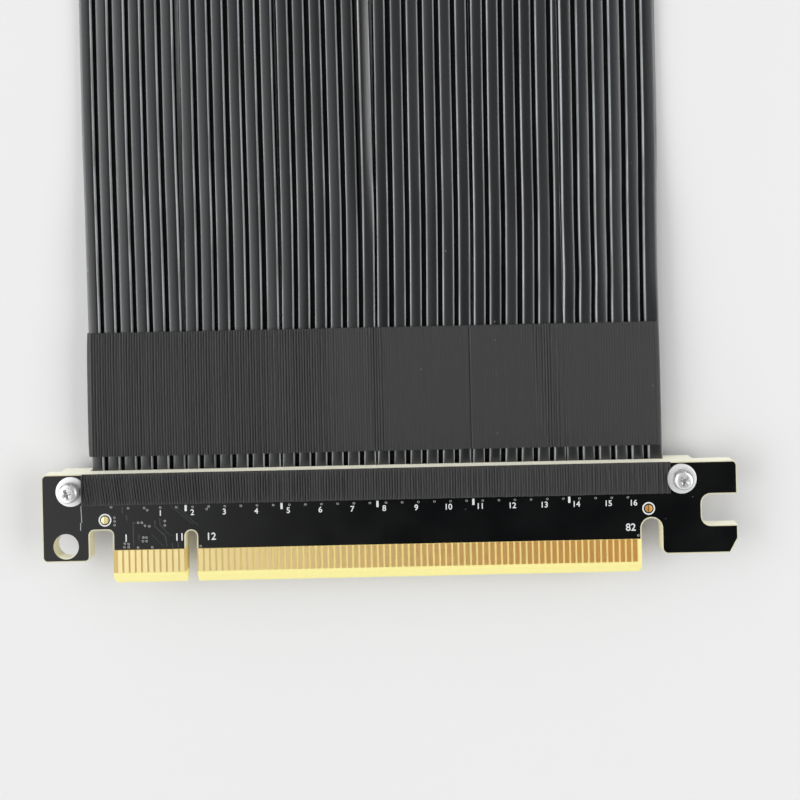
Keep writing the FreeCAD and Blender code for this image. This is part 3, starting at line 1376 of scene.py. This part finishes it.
@dataclass
class ClothWrap:
    """A band of cloth tape wound round all six ribbons."""

    end: End
    half: float = 0.8 * MM
    skin: float = 0.26 * MM
    rows: int = 12
    turn_steps: int = 8
    gaps: tuple[float, ...] = (-0.03328, -0.01769, -0.0021, 0.01349, 0.02908)
    dips: tuple[float, ...] = (0.07 * MM, 0.05 * MM, 0.09 * MM, 0.06 * MM, 0.08 * MM)
    dip_width: float = 0.50 * MM
    seam_gap: int = 3
    seam_depth: float = 0.20 * MM
    seam_width: float = 0.15 * MM
    ease: float = 0.35 * MM
    bands: tuple[Point, ...] = ((-0.0017, 0.0016, -0.05), (0.0264, 0.0024, -0.13))
    ribbed_side: Span = (34.0 * MM, 46.0 * MM)
    least_ribs: float = 0.3
    edge_press: float = 0.10 * MM
    press_power: float = 0.3
    waves: int = 3
    wave_lengths: Span = (5.0 * MM, 16.0 * MM)
    wave_height: float = 0.018 * MM
    fray: float = 0.07 * MM
    seeds: tuple[int, int] = (11, 12)
    fray_seed: int = 40

    def node(self) -> str:
        """Returns the name of the solid that the band stands for."""
        return f"{self.end.value}_cable_wrap"

    def sink(self, x: float) -> float:
        """Gives how far the tape sinks between ribbons and at its seam.

        Args:
            x: The place across the cable.

        Returns:
            The depth.
        """
        dips = sum(depth * bell(x - gap, self.dip_width) for gap, depth in zip(self.gaps, self.dips))
        return dips + self.seam_depth * bell(x - self.gaps[self.seam_gap], self.seam_width)

    def relief(self, inward: float, x: float, along: float) -> float:
        """Gives the share of the ribs that shows: most at the left and in two narrow bands.

        Args:
            inward: How far the place is from the wrap's left side.
            x: The place across the cable.
            along: How far the place is from the wrap's middle, along the cable.

        Returns:
            The share.
        """
        side = 1.0 - smooth_step(inward, *self.ribbed_side)
        over = sum(bell(x - at - drift * along, width) for at, width, drift in self.bands)
        return self.least_ribs + (1.0 - self.least_ribs) * max(side, min(1.0, over))

    def height(self, line: list[Vector], y: float) -> float:
        """Reads the cable's height from its line.

        Args:
            line: The points of the cable's smooth line.
            y: The place along the cable.

        Returns:
            The height of the cable's middle there.
        """
        for first, second in zip(line, line[1:]):
            if first.y <= y <= second.y:
                share = (y - first.y) / (second.y - first.y)
                return first.z + share * (second.z - first.z)
        return line[0].z

    def build(self) -> bpy.types.Object:
        """Winds the band, ribbed outside and plain inside.

        Returns:
            The band.
        """
        low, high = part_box(self.node())
        line = Ribbon(0, (low.x + high.x) / 2.0).route()
        seed = self.seeds[0] if self.end is End.PLUG else self.seeds[1]
        ribs = Ribs(low.x + self.half - self.ease, high.x - self.half, seed).columns()
        draw = random.Random(seed + self.fray_seed)
        ragged = [draw.uniform(-1.0, 1.0) for _ in ribs]
        waves = []
        for _ in range(self.waves):
            length = draw.uniform(*self.wave_lengths)
            waves.append((length, draw.uniform(*PHASES)))
        rings = []
        for row in range(self.rows):
            share = row / (self.rows - 1)
            y = low.y + share * (high.y - low.y)
            edge = 1.0 if row in (0, self.rows - 1) else 0.0
            press = self.edge_press * (1.0 - math.sin(math.pi * share) ** self.press_power)
            middle = self.height(line, y)
            rings.append(self.ring(ribs, ragged, waves, y, middle, self.half - press, edge))
        plain = [(x, 0.0) for x, _ in ribs]
        straight = [0.0] * len(ribs)
        for y in (high.y, low.y):
            middle = self.height(line, y)
            rings.append(self.ring(plain, straight, [], y, middle, self.half - self.skin, 0.0))
        shape = Shape()
        shape.tube(rings)
        name = f"{self.end.value}_cloth_wrap"
        return place_piece(name, shape, ClothTape(), (self.node(),), WOVEN)

    def ring(
        self,
        ribs: list[Span],
        ragged: list[float],
        waves: list[Span],
        y: float,
        middle: float,
        half: float,
        edge: float,
    ) -> list[Vector]:
        """Draws the band's outline at one place along the cable.

        Args:
            ribs: Place across and height of each column.
            ragged: How far each column's end stands out, from -1 to 1.
            waves: Length and start of the tape's slow waves; the inner side has none and doesn't sink.
            y: The place along the cable.
            middle: The height of the cable's middle.
            half: Half of the band's height.
            edge: 1 on the band's two ends and 0 elsewhere.

        Returns:
            The outline's points.
        """
        upper, lower = [], []
        left, right = ribs[0][0], ribs[-1][0]
        low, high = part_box(self.node())
        from_middle = y - (low.y + high.y) / 2.0
        for (x, rib), stray in zip(ribs, ragged):
            slow = sum(self.wave_height * math.sin(x / length + start) for length, start in waves)
            lift = half + rib * self.relief(x - left, x, from_middle) + slow
            if waves:
                lift -= self.sink(x)
            along = y + edge * stray * self.fray
            upper.append(Vector((x, along, middle + lift)))
            lower.append(Vector((x, along, middle - lift + slow)))
        ends = []
        for at, way in ((right, half), (left, -half)):
            turn = []
            for step in range(1, self.turn_steps):
                a = math.pi / 2.0 - math.pi * step / self.turn_steps
                turn.append(Vector((at + way * math.cos(a), y, middle + way * math.sin(a))))
            ends.append(turn)
        return upper + ends[0] + list(reversed(lower)) + ends[1]


@dataclass
class SolderTape:
    """A strip of cloth tape over the row of soldered wires."""

    end: End
    rows: int = 8
    rib_widths: Span = (0.412 * MM, 0.436 * MM)
    rib_height: float = 0.26 * MM
    seeds: tuple[int, int] = (21, 22)
    lean: float = 0.13
    lean_fade: Span = (2.0 * MM, 34.0 * MM)
    straight_end: float = 1.2 * MM
    fray: float = 0.06 * MM
    washer_lift: float = 0.32 * MM
    washer_rim: Span = (2.45 * MM, 3.3 * MM)
    washer_clear: float = 2.46 * MM
    edge_ribs: float = 0.3
    rib_fade: float = 0.25
    rib_fade_run: Span = (18.0 * MM, 60.0 * MM)
    sag: float = 0.012 * MM
    sag_length: float = 3.1 * MM
    sag_turn: float = 2.0

    def washers(self) -> list[Vector]:
        """Returns the middles of the washers that the strip meets."""
        return Fasteners(self.end).middles() if self.end is End.PLUG else []

    def round_washers(self, washers: list[Vector], across: float, y: float) -> Span:
        """Lifts the strip over the first washer's rim and cuts it round the last one's.

        Args:
            washers: The washers' middles, or none.
            across: The place across the board.
            y: The place along the cable.

        Returns:
            The place across the board after the cut, and the lift.
        """
        if not washers:
            return across, 0.0
        first, last = washers
        near = math.hypot(across - first.x, y - first.y)
        lift = self.washer_lift * (1.0 - smooth_step(near, *self.washer_rim))
        reach = self.washer_clear**2 - (y - last.y) ** 2
        if reach > 0.0:
            across = min(across, last.x - math.sqrt(reach))
        return across, lift

    def build(self) -> bpy.types.Object:
        """Lays the strip, with leaning ribs at its left and straight ones at its ends.

        Returns:
            The strip.
        """
        node = f"{self.end.value}_solder_tape"
        low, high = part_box(node)
        seed = self.seeds[0] if self.end is End.PLUG else self.seeds[1]
        ribs = Ribs(low.x, high.x, seed, self.rib_widths, self.rib_height).columns()
        draw = random.Random(seed)
        ragged = [draw.uniform(-1.0, 1.0) for _ in ribs]
        washers = self.washers()
        rings = []
        for row in range(self.rows):
            share = row / (self.rows - 1)
            upper, lower = [], []
            for (x, rib), stray in zip(ribs, ragged):
                inward = x - low.x
                y = low.y + share * (high.y - low.y)
                lean = self.lean * (1.0 - smooth_step(inward, *self.lean_fade))
                lean *= smooth_step(inward, 0.0, self.straight_end)
                lean *= smooth_step(high.x - x, 0.0, self.straight_end)
                across = x - lean * (y - low.y)
                if row == 0:
                    y += self.fray * stray
                across, lift = self.round_washers(washers, across, y)
                press = self.edge_ribs if row in (0, self.rows - 1) else 1.0
                press *= 1.0 - self.rib_fade * smooth_step(inward, *self.rib_fade_run)
                sag = self.sag * math.sin(x / self.sag_length + self.sag_turn * share)
                upper.append(Vector((across, y, high.z + lift + rib * press + sag)))
                lower.append(Vector((across, y, low.z + lift)))
            rings.append(upper + list(reversed(lower)))
        shape = Shape()
        shape.loft(rings)
        name = f"{self.end.value}_joint_tape"
        return place_piece(name, shape, ClothTape(), (node,), WOVEN)


# Fasteners


@dataclass
class Fasteners:
    """The two screws, washers and nuts of one clamp; profiles are radius and height in mm."""

    end: End
    head_turns: int = 48
    head_height: float = 1.2 * MM
    head_profile: tuple[Span, ...] = (
        (0.02, 0.0), (1.52, 0.0), (1.585, 0.05), (1.6, 0.16), (1.6, 0.42), (1.575, 0.62),
        (1.51, 0.82), (1.39, 0.99), (1.22, 1.10), (1.0, 1.165), (0.6, 1.195), (0.02, 1.2),
    )
    recess: tuple[Point, ...] = ((-0.42, 0.20, 0.08), (-0.24, 0.62, 0.17), (0.15, 0.98, 0.30))
    recess_turns: Span = (24.0, 61.0)
    shank_turns: int = 24
    shank_radius: float = 0.96 * MM
    shank_middle: float = 0.02 * MM
    shank_tip: float = 0.8
    shank_neck: float = 0.9
    shank_overlap: float = 0.05 * MM
    thread_root: float = 0.86
    thread_start: float = 0.12 * MM
    thread_pitch: float = 0.4 * MM
    washer_turns: int = 64
    washer_radius: float = 2.4 * MM
    washer_profile: tuple[Span, ...] = (
        (1.1, 0.04), (1.14, 0.0), (2.32, 0.0), (2.385, 0.04), (2.4, 0.1), (2.4, 0.2),
        (2.375, 0.26), (2.31, 0.3), (1.18, 0.3), (1.1, 0.26),
    )
    nut_turns: int = 72
    nut_flat: float = 2.0 * MM
    nut_chamfer: float = 0.97
    nut_bore: float = 1.05
    nut_levels: tuple[Span, ...] = (
        (0.0, 0.0), (0.04, 0.35), (0.12, 0.75), (0.2, 1.0),
        (0.8, 1.0), (0.88, 0.75), (0.96, 0.35), (1.0, 0.0),
    )

    def middles(self) -> list[Vector]:
        """Finds the two screws' axes from the washers' solids.

        Returns:
            The feet of the axes, from left to right.
        """
        low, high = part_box(f"{self.end.value}_clamp_washers")
        y = (low.y + high.y) / 2.0
        reach = self.washer_radius
        return [Vector((low.x + reach, y, 0.0)), Vector((high.x - reach, y, 0.0))]

    def build(self) -> None:
        """Makes the screws, the washers and the nuts."""
        self.screws()
        self.washers()
        self.nuts()

    def cutter(self) -> bpy.types.Object:
        """Makes the tapered cross that cuts the driver recess.

        Returns:
            The cross, pointing down.
        """
        shape = Shape()
        for turn in (0.0, math.pi / 2.0):
            rings = []
            for z, arm, half in self.recess:
                ring = []
                for x, y in ((-arm, -half), (arm, -half), (arm, half), (-arm, half)):
                    ring.append(Matrix.Rotation(turn, 3, "Z") @ Vector((x, y, z)) * MM)
                rings.append(ring)
            shape.loft(rings)
        return new_object("recess", shape.mesh("recess"))

    def head(self) -> bpy.types.Mesh:
        """Makes one pan head with its recess, standing on the origin.

        Returns:
            The head's mesh.
        """
        shape = Shape()
        shape.loft(lathe(metres(self.head_profile), Vector(), self.head_turns))
        blank = new_object("head", shape.mesh("head"))
        cutter = self.cutter()
        cutter.location.z = self.head_height
        cut = blank.modifiers.new("recess", "BOOLEAN")
        cut.operation = "DIFFERENCE"
        cut.object = cutter
        cut.solver = "EXACT"
        cut.use_self = True
        bpy.context.view_layer.update()
        graph = bpy.context.evaluated_depsgraph_get()
        made = bpy.data.meshes.new_from_object(blank.evaluated_get(graph))
        for helper in (blank, cutter):
            bpy.data.objects.remove(helper)
        return made

    def shank(self, foot: float, seat: float) -> list[Span]:
        """Draws the profile of a threaded shank.

        Args:
            foot: The height of its lower end.
            seat: The height of the head's underside.

        Returns:
            Radius and height of each ring.
        """
        profile = [(self.shank_middle, foot), (self.shank_radius * self.shank_tip, foot)]
        half = self.thread_pitch / 2.0
        start = foot + self.thread_start
        for i in range(int((seat - half - start) / self.thread_pitch) + 1):
            z = start + i * self.thread_pitch
            profile += [(self.shank_radius, z), (self.shank_radius * self.thread_root, z + half)]
        top = seat + self.shank_overlap
        return profile + [(self.shank_radius * self.shank_neck, top), (self.shank_middle, top)]

    def screws(self) -> bpy.types.Object:
        """Puts a head and a threaded shank on each axis.

        Returns:
            The pair of screws.
        """
        node = f"{self.end.value}_clamp_screws"
        low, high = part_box(node)
        seat = high.z - self.head_height
        head = self.head()
        shape = Shape()
        for middle, turn in zip(self.middles(), self.recess_turns):
            place = Matrix.Translation(middle + raised(seat))
            shape.take(head, place @ Matrix.Rotation(math.radians(turn), 4, "Z"))
            shape.loft(lathe(self.shank(low.z, seat), middle, self.shank_turns))
        finish = Nickel("bright nickel", level=0.88, gloss=(0.24, 0.42), painted_flank_shade=0.3, metallic=0.6)
        return place_piece(f"{self.end.value}_pan_screws", shape, finish, (node,))

    def washers(self) -> bpy.types.Object:
        """Turns two flat washers with rolled edges.

        Returns:
            The pair of washers.
        """
        node = f"{self.end.value}_clamp_washers"
        foot = raised(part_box(node)[0].z)
        shape = Shape()
        for middle in self.middles():
            shape.tube(lathe(metres(self.washer_profile), middle + foot, self.washer_turns))
        finish = Nickel(
            "stamped nickel", level=0.80, gloss=(0.44, 0.62), fineness=7000.0, metallic=0.35
        )
        return place_piece(f"{self.end.value}_flat_washers", shape, finish, (node,))

    def nuts(self) -> bpy.types.Object:
        """Forms two hexagon nuts with chamfered corners.

        Returns:
            The pair of nuts.
        """
        node = f"{self.end.value}_clamp_nuts"
        low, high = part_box(node)
        sixth = math.pi / 3.0
        corner = self.nut_flat / math.cos(sixth / 2.0)
        inner = self.nut_flat * self.nut_chamfer
        bore = self.shank_radius * self.nut_bore
        shape = Shape()
        for middle in self.middles():
            rings = []
            for share, full in self.nut_levels:
                limit = inner + full * (corner - inner)
                z = low.z + share * (high.z - low.z)
                ring = []
                for i in range(self.nut_turns):
                    a = 2.0 * math.pi * i / self.nut_turns
                    flat = (a + sixth / 2.0) % sixth - sixth / 2.0
                    radius = min(self.nut_flat / math.cos(flat), limit)
                    ring.append(middle + Vector((radius * math.cos(a), radius * math.sin(a), z)))
                rings.append(ring)
            shape.tube(rings + lathe([(bore, high.z), (bore, low.z)], middle, self.nut_turns))
        name = f"{self.end.value}_hex_nuts"
        return place_piece(name, shape, Nickel(), (node,), CRISP)


# Boards


@dataclass
class BoardPrint:
    """The white print, the covered vias and the raised tracks on the plug board's face, in mm."""

    ink: float = 0.012
    lane_count: int = 16
    lane_first: float = -37.0
    lane_pitch: float = 5.16
    lane_last: float = 39.3
    lane_row: float = -82.65
    lane_size: float = 1.30
    ends: tuple[tuple[str, float], ...] = (("1", -42.6), ("11", -34.0), ("12", -28.9), ("82", 38.8))
    end_row: float = -86.6
    end_size: float = 1.65
    stroke: float = 0.02
    tick_count: int = 5
    tick_first: float = -32.9
    tick_pitch: float = 15.47
    tick_row: float = -81.9
    tick_reach: float = 0.5
    tick_half: float = 0.19
    pad_radius: float = 0.6
    pad_gap: float = 0.05
    pad_steps: int = 16
    pad_foot: float = 0.02
    pad_edge: float = 0.01
    pad_top: float = 0.95
    pad_ring: Span = (0.80, 1.03)
    pad_ring_turns: int = 48
    bead: tuple[Span, ...] = (
        (-1.0, -0.2), (-0.8, 0.55), (-0.35, 0.95), (0.35, 0.95), (0.8, 0.55), (1.0, -0.2),
    )
    track_half: float = 0.085
    track_height: float = 0.04
    tracks: tuple[tuple[Span, ...], ...] = (
        ((-41.4, -83.9), (-41.4, -88.0)),
        ((-43.1, -81.5), (-43.1, -82.6)),
        ((-42.5, -82.8), (-42.4, -83.7)),
        ((-37.9, -83.8), (-37.9, -84.8), (-36.3, -86.3), (-36.0, -88.0)),
        ((-37.1, -83.5), (-37.1, -84.4), (-35.9, -85.9), (-35.1, -86.3)),
        ((-38.5, -85.9), (-37.5, -87.0), (-36.5, -88.0)),
        ((-35.3, -81.4), (-31.7, -84.5)),
        ((-34.6, -81.4), (-30.9, -84.7)),
        ((-35.2, -87.5), (-35.1, -88.3)),
        ((-34.3, -87.2), (-34.2, -88.2)),
        ((-40.5, -85.9), (-40.5, -86.9)),
    )
    film_half: float = 0.07
    film: tuple[Span, ...] = ((-49.8, -81.2), (-49.7, -83.9), (-49.9, -84.0), (-49.9, -85.2))
    vias: tuple[Span, ...] = (
        (-44.4, -83.2), (-44.4, -83.8), (-44.4, -84.4), (-40.6, -84.1), (-40.0, -84.1),
        (-39.5, -84.6), (-38.8, -84.7), (-36.3, -83.9), (-36.3, -84.6), (-39.8, -86.5),
        (-39.3, -86.5), (-39.9, -87.1), (-39.3, -87.1), (-42.8, -87.4), (-42.2, -87.5),
        (-42.9, -88.0), (-42.2, -88.0), (-40.7, -88.1), (-38.4, -88.1), (-30.6, -88.1),
        (-39.1, -82.1), (-29.5, -82.1), (-44.9, -81.5), (40.0, -87.9),
    )
    via_row: float = -81.72
    via_first: float = -42.17
    via_pitch: float = 2.60
    via_count: int = 32
    via_turns: int = 16
    via_profile: tuple[Span, ...] = (
        (0.21, -0.02), (0.20, 0.02), (0.17, 0.045), (0.13, 0.045), (0.09, 0.015), (0.08, -0.02),
    )

    def face(self) -> float:
        """Returns the height of the board's face in metres."""
        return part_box("plug_board")[1].z

    def on_face(self, x: float, y: float, z: float = 0.0) -> Vector:
        """Gives the point in metres at a place on the board's face and a height over it."""
        return Vector((x * MM, y * MM, self.face() + z * MM))

    def pads(self) -> list[Vector]:
        """Finds the middles of the two test pads on the board's face from their solids.

        Returns:
            The middles in metres, from left to right.
        """
        low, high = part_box("plug_test_points")
        y = (low.y + high.y) / 2.0
        reach = self.pad_radius * MM
        return [Vector((x, y, self.face())) for x in (low.x + reach, high.x - reach)]

    def build(self) -> None:
        """Makes the print, the tracks, the vias and the test pads."""
        self.print_white()
        self.mark_outline()
        self.raise_tracks()
        self.cover_vias()
        self.test_pads()

    def figures(self, words: str, size: float) -> bpy.types.Mesh:
        """Makes printed figures about the origin.

        Args:
            words: The figures.
            size: Their size.

        Returns:
            Their mesh.
        """
        data = bpy.data.curves.new("figures", "FONT")
        data.body = words
        data.size = size * MM
        data.align_x = "CENTER"
        data.align_y = "CENTER"
        data.extrude = self.ink * MM / 2.0
        data.offset = self.stroke * MM
        return curve_mesh(data)

    def line(self, route: tuple[Span, ...], half: float, tall: float) -> Rings:
        """Draws a low rounded line on the board's face.

        Args:
            route: The line's points.
            half: Half of its width.
            tall: Its height.

        Returns:
            The rings along it.
        """
        points = [self.on_face(x, y) for x, y in route]
        rings = []
        for i, at in enumerate(points):
            way = (points[min(i + 1, len(points) - 1)] - points[max(i - 1, 0)]).normalized()
            side = Vector((-way.y, way.x, 0.0)) * (half * MM)
            rings.append([at + side * across + raised(high * tall * MM) for across, high in self.bead])
        return rings

    def print_white(self) -> bpy.types.Object:
        """Prints lane numbers, end numbers, marks between ribbons and rings round the test pads.

        Returns:
            The print.
        """
        shape = Shape()
        labels = [(words, x, self.end_row, self.end_size) for words, x in self.ends]
        for lane in range(self.lane_count):
            x = min(self.lane_first + lane * self.lane_pitch, self.lane_last)
            labels.append((str(lane + 1), x, self.lane_row, self.lane_size))
        for words, x, y, size in labels:
            place = Matrix.Translation(self.on_face(x, y, self.ink / 2.0))
            shape.take(self.figures(words, size), place)
        for tick in range(self.tick_count):
            x = self.tick_first + tick * self.tick_pitch
            route = ((x, self.tick_row - self.tick_reach), (x, self.tick_row + self.tick_reach))
            shape.loft(self.line(route, self.tick_half, self.ink))
        inner, outer = self.pad_ring
        ring = ((inner, -self.ink), (inner, self.ink), (outer, self.ink), (outer, -self.ink))
        for pad in self.pads():
            shape.tube(lathe(metres(ring), pad, self.pad_ring_turns))
        return place_piece("plug_board_print", shape, WhiteInk())

    def mark_outline(self) -> bpy.types.Object:
        """Prints the thin line across the ear.

        Returns:
            The line.
        """
        shape = Shape()
        shape.loft(self.line(self.film, self.film_half, self.ink))
        finish = WhiteInk("thin ink", (grey(0.357, -0.02), grey(0.42, -0.02)))
        return place_piece("plug_board_outline_mark", shape, finish)

    def raise_tracks(self) -> bpy.types.Object:
        """Raises the copper tracks under the mask.

        Returns:
            The tracks.
        """
        shape = Shape()
        for route in self.tracks:
            shape.loft(self.line(route, self.track_half, self.track_height))
        return place_piece("plug_board_tracks", shape, MaskOverCopper(), smooth=BEADED)

    def cover_vias(self) -> bpy.types.Object:
        """Sets the small rims of the vias.

        Returns:
            The vias.
        """
        shape = Shape()
        row = [(self.via_first + i * self.via_pitch, self.via_row) for i in range(self.via_count)]
        for x, y in (*self.vias, *row):
            shape.tube(lathe(metres(self.via_profile), self.on_face(x, y), self.via_turns))
        finish = Nickel("tinned rim", level=0.36, gloss=(0.24, 0.42))
        return place_piece("plug_board_vias", shape, finish, smooth=BEADED)

    def test_pads(self) -> bpy.types.Object:
        """Makes the two test pads, each in two halves.

        Returns:
            The pads.
        """
        node = "plug_test_points"
        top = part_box(node)[1].z
        foot, edge = self.face() - self.pad_foot * MM, top - self.pad_edge * MM
        levels = ((foot, 1.0), (edge, 1.0), (top, self.pad_top))
        shape = Shape()
        for pad in self.pads():
            for way in (-1.0, 1.0):
                rings = []
                for z, size in levels:
                    radius = self.pad_radius * MM * size
                    ring = []
                    for i in range(self.pad_steps + 1):
                        a = -math.pi / 2.0 + math.pi * i / self.pad_steps
                        across = max(self.pad_gap * MM, radius * math.cos(a))
                        ring.append(Vector((pad.x + way * across, pad.y + radius * math.sin(a), z)))
                    rings.append(ring)
                shape.loft(rings)
        return place_piece("plug_test_pads", shape, GoldPlate(), (node,))


@dataclass
class Boards:
    """The part's own rigid solids: boards, contacts, clamps and the card slot."""

    bare_up_to: float = -88.44 * MM
    bare_from: float = -46.5 * MM
    bare_to: float = 42.0 * MM
    # painted light: the springs' gold drifts from paler on the left to deeper on the right
    spring_pale: Colour = (0.86, 0.62, 0.28, 1.0)
    spring_deep: Colour = (0.78, 0.52, 0.22, 1.0)
    housing_edge: float = 0.14 * MM

    def build(self) -> None:
        """Dresses each solid."""
        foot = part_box("plug_contacts_front")[0].y
        plug = SolderMask("plug board mask", self.bare_up_to, self.bare_from, self.bare_to, foot)
        dress_node("plug_board", plug)
        for node in ("plug_clamp_board", "slot_board", "slot_clamp_board"):
            dress_node(node, SolderMask())
        for node in ("plug_contacts_front", "plug_contacts_back"):
            dress_node(node, GoldPlate())
        springs = GoldPlate("spring gold", self.spring_pale, self.spring_deep, gloss=(0.28, 0.38))
        for node in ("slot_contacts_near", "slot_contacts_far"):
            dress_node(node, springs)
        dress_node("slot_housing", MouldedPlastic(), self.housing_edge)


@dataclass
class BareEdge:
    """The pale line along a board's milled edge, where the mask stops short of it."""

    board: str
    tongue: Point = (0.0, 0.0, -1.0)
    width: float = 0.17 * MM
    rise: float = 0.004 * MM
    depth: float = 0.03 * MM
    grid: float = 1e-7
    least_turn: float = 0.4

    def outline(self) -> list[Vector]:
        """Follows the outer edge of the board's upper face.

        Returns:
            The edge's points, with the board on the left.
        """
        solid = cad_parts[self.board]
        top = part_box(self.board)[1].z
        spots: dict[tuple[int, int], Vector] = {}
        sides = []
        for face in solid.data.polygons:
            corners = [solid.matrix_world @ solid.data.vertices[i].co for i in face.vertices]
            if any(abs(p.z - top) > SAME_CORNER for p in corners):
                continue
            keys = [(round(p.x / self.grid), round(p.y / self.grid)) for p in corners]
            spots.update(zip(keys, corners))
            sides += zip(keys, keys[1:] + keys[:1])
        steps = dict(set(sides) - {(b, a) for a, b in sides})
        first = min(steps)
        loop, at = [spots[first]], steps[first]
        while at != first:
            loop.append(spots[at])
            at = steps[at]
        return loop

    def on_tongue(self, at: Vector) -> bool:
        """Tells whether a point lies on the card's tongue, below the mask."""
        left, right, top = self.tongue
        return left < at.x < right and at.y < top - self.grid

    def split(self, loop: list[Vector]) -> list[Vector]:
        """Adds a point wherever the edge runs on to the tongue.

        Args:
            loop: The edge's points.

        Returns:
            The points with the added ones among them.
        """
        made = []
        for first, second in zip(loop, loop[1:] + loop[:1]):
            made.append(first)
            if self.on_tongue(first) != self.on_tongue(second):
                share = (self.tongue[2] - first.y) / (second.y - first.y)
                made.append(first.lerp(second, share))
        return made

    def ring(self, before: Vector, at: Vector, after: Vector) -> list[Vector]:
        """Draws the line's outline at one point of the edge.

        Args:
            before: The point before it.
            at: The point.
            after: The point after it.

        Returns:
            The outline's four points.
        """
        inward = []
        for way in ((at - before).normalized(), (after - at).normalized()):
            inward.append(Vector((-way.y, way.x, 0.0)))
        miter = (inward[0] + inward[1]) / max(self.least_turn, 1.0 + inward[0].dot(inward[1]))
        outer, inner = at - miter * self.rise, at + miter * self.width
        up, down = raised(self.rise), raised(-self.depth)
        return [outer + up, inner + up, inner + down, outer + down]

    def build(self) -> bpy.types.Object:
        """Lays the line along the edge, but not along the card's tip.

        Returns:
            The line.
        """
        loop = self.split(self.outline())
        count = len(loop)
        bare = [self.on_tongue(p) for p in loop]
        begin = next((i for i in range(count) if bare[i - 1] and not bare[i]), 0)
        runs = [[]]
        for i in range(begin, begin + count):
            if bare[i % count]:
                runs.append([])
            else:
                runs[-1].append(self.ring(loop[i % count - 1], loop[i % count], loop[(i + 1) % count]))
        shape = Shape()
        for run in runs:
            if len(run) == count:
                shape.tube(run)
            elif len(run) > 1:
                shape.loft(run)
        return place_piece(f"{self.board}_bare_edge", shape, Laminated())


def main() -> None:
    """Builds the part's looks in order."""
    logging.basicConfig(level=logging.INFO, format="%(message)s")
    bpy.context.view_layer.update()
    Studio().build()
    for ribbon in ribbon_set():
        ribbon.build()
    boards = Boards()
    boards.build()
    for end in End:
        ClothWrap(end).build()
        SolderTape(end).build()
        Fasteners(end).build()
    BoardPrint().build()
    BareEdge("plug_board", (boards.bare_from, boards.bare_to, boards.bare_up_to)).build()
    BareEdge("slot_board").build()


if __name__ == "__main__":
    main()
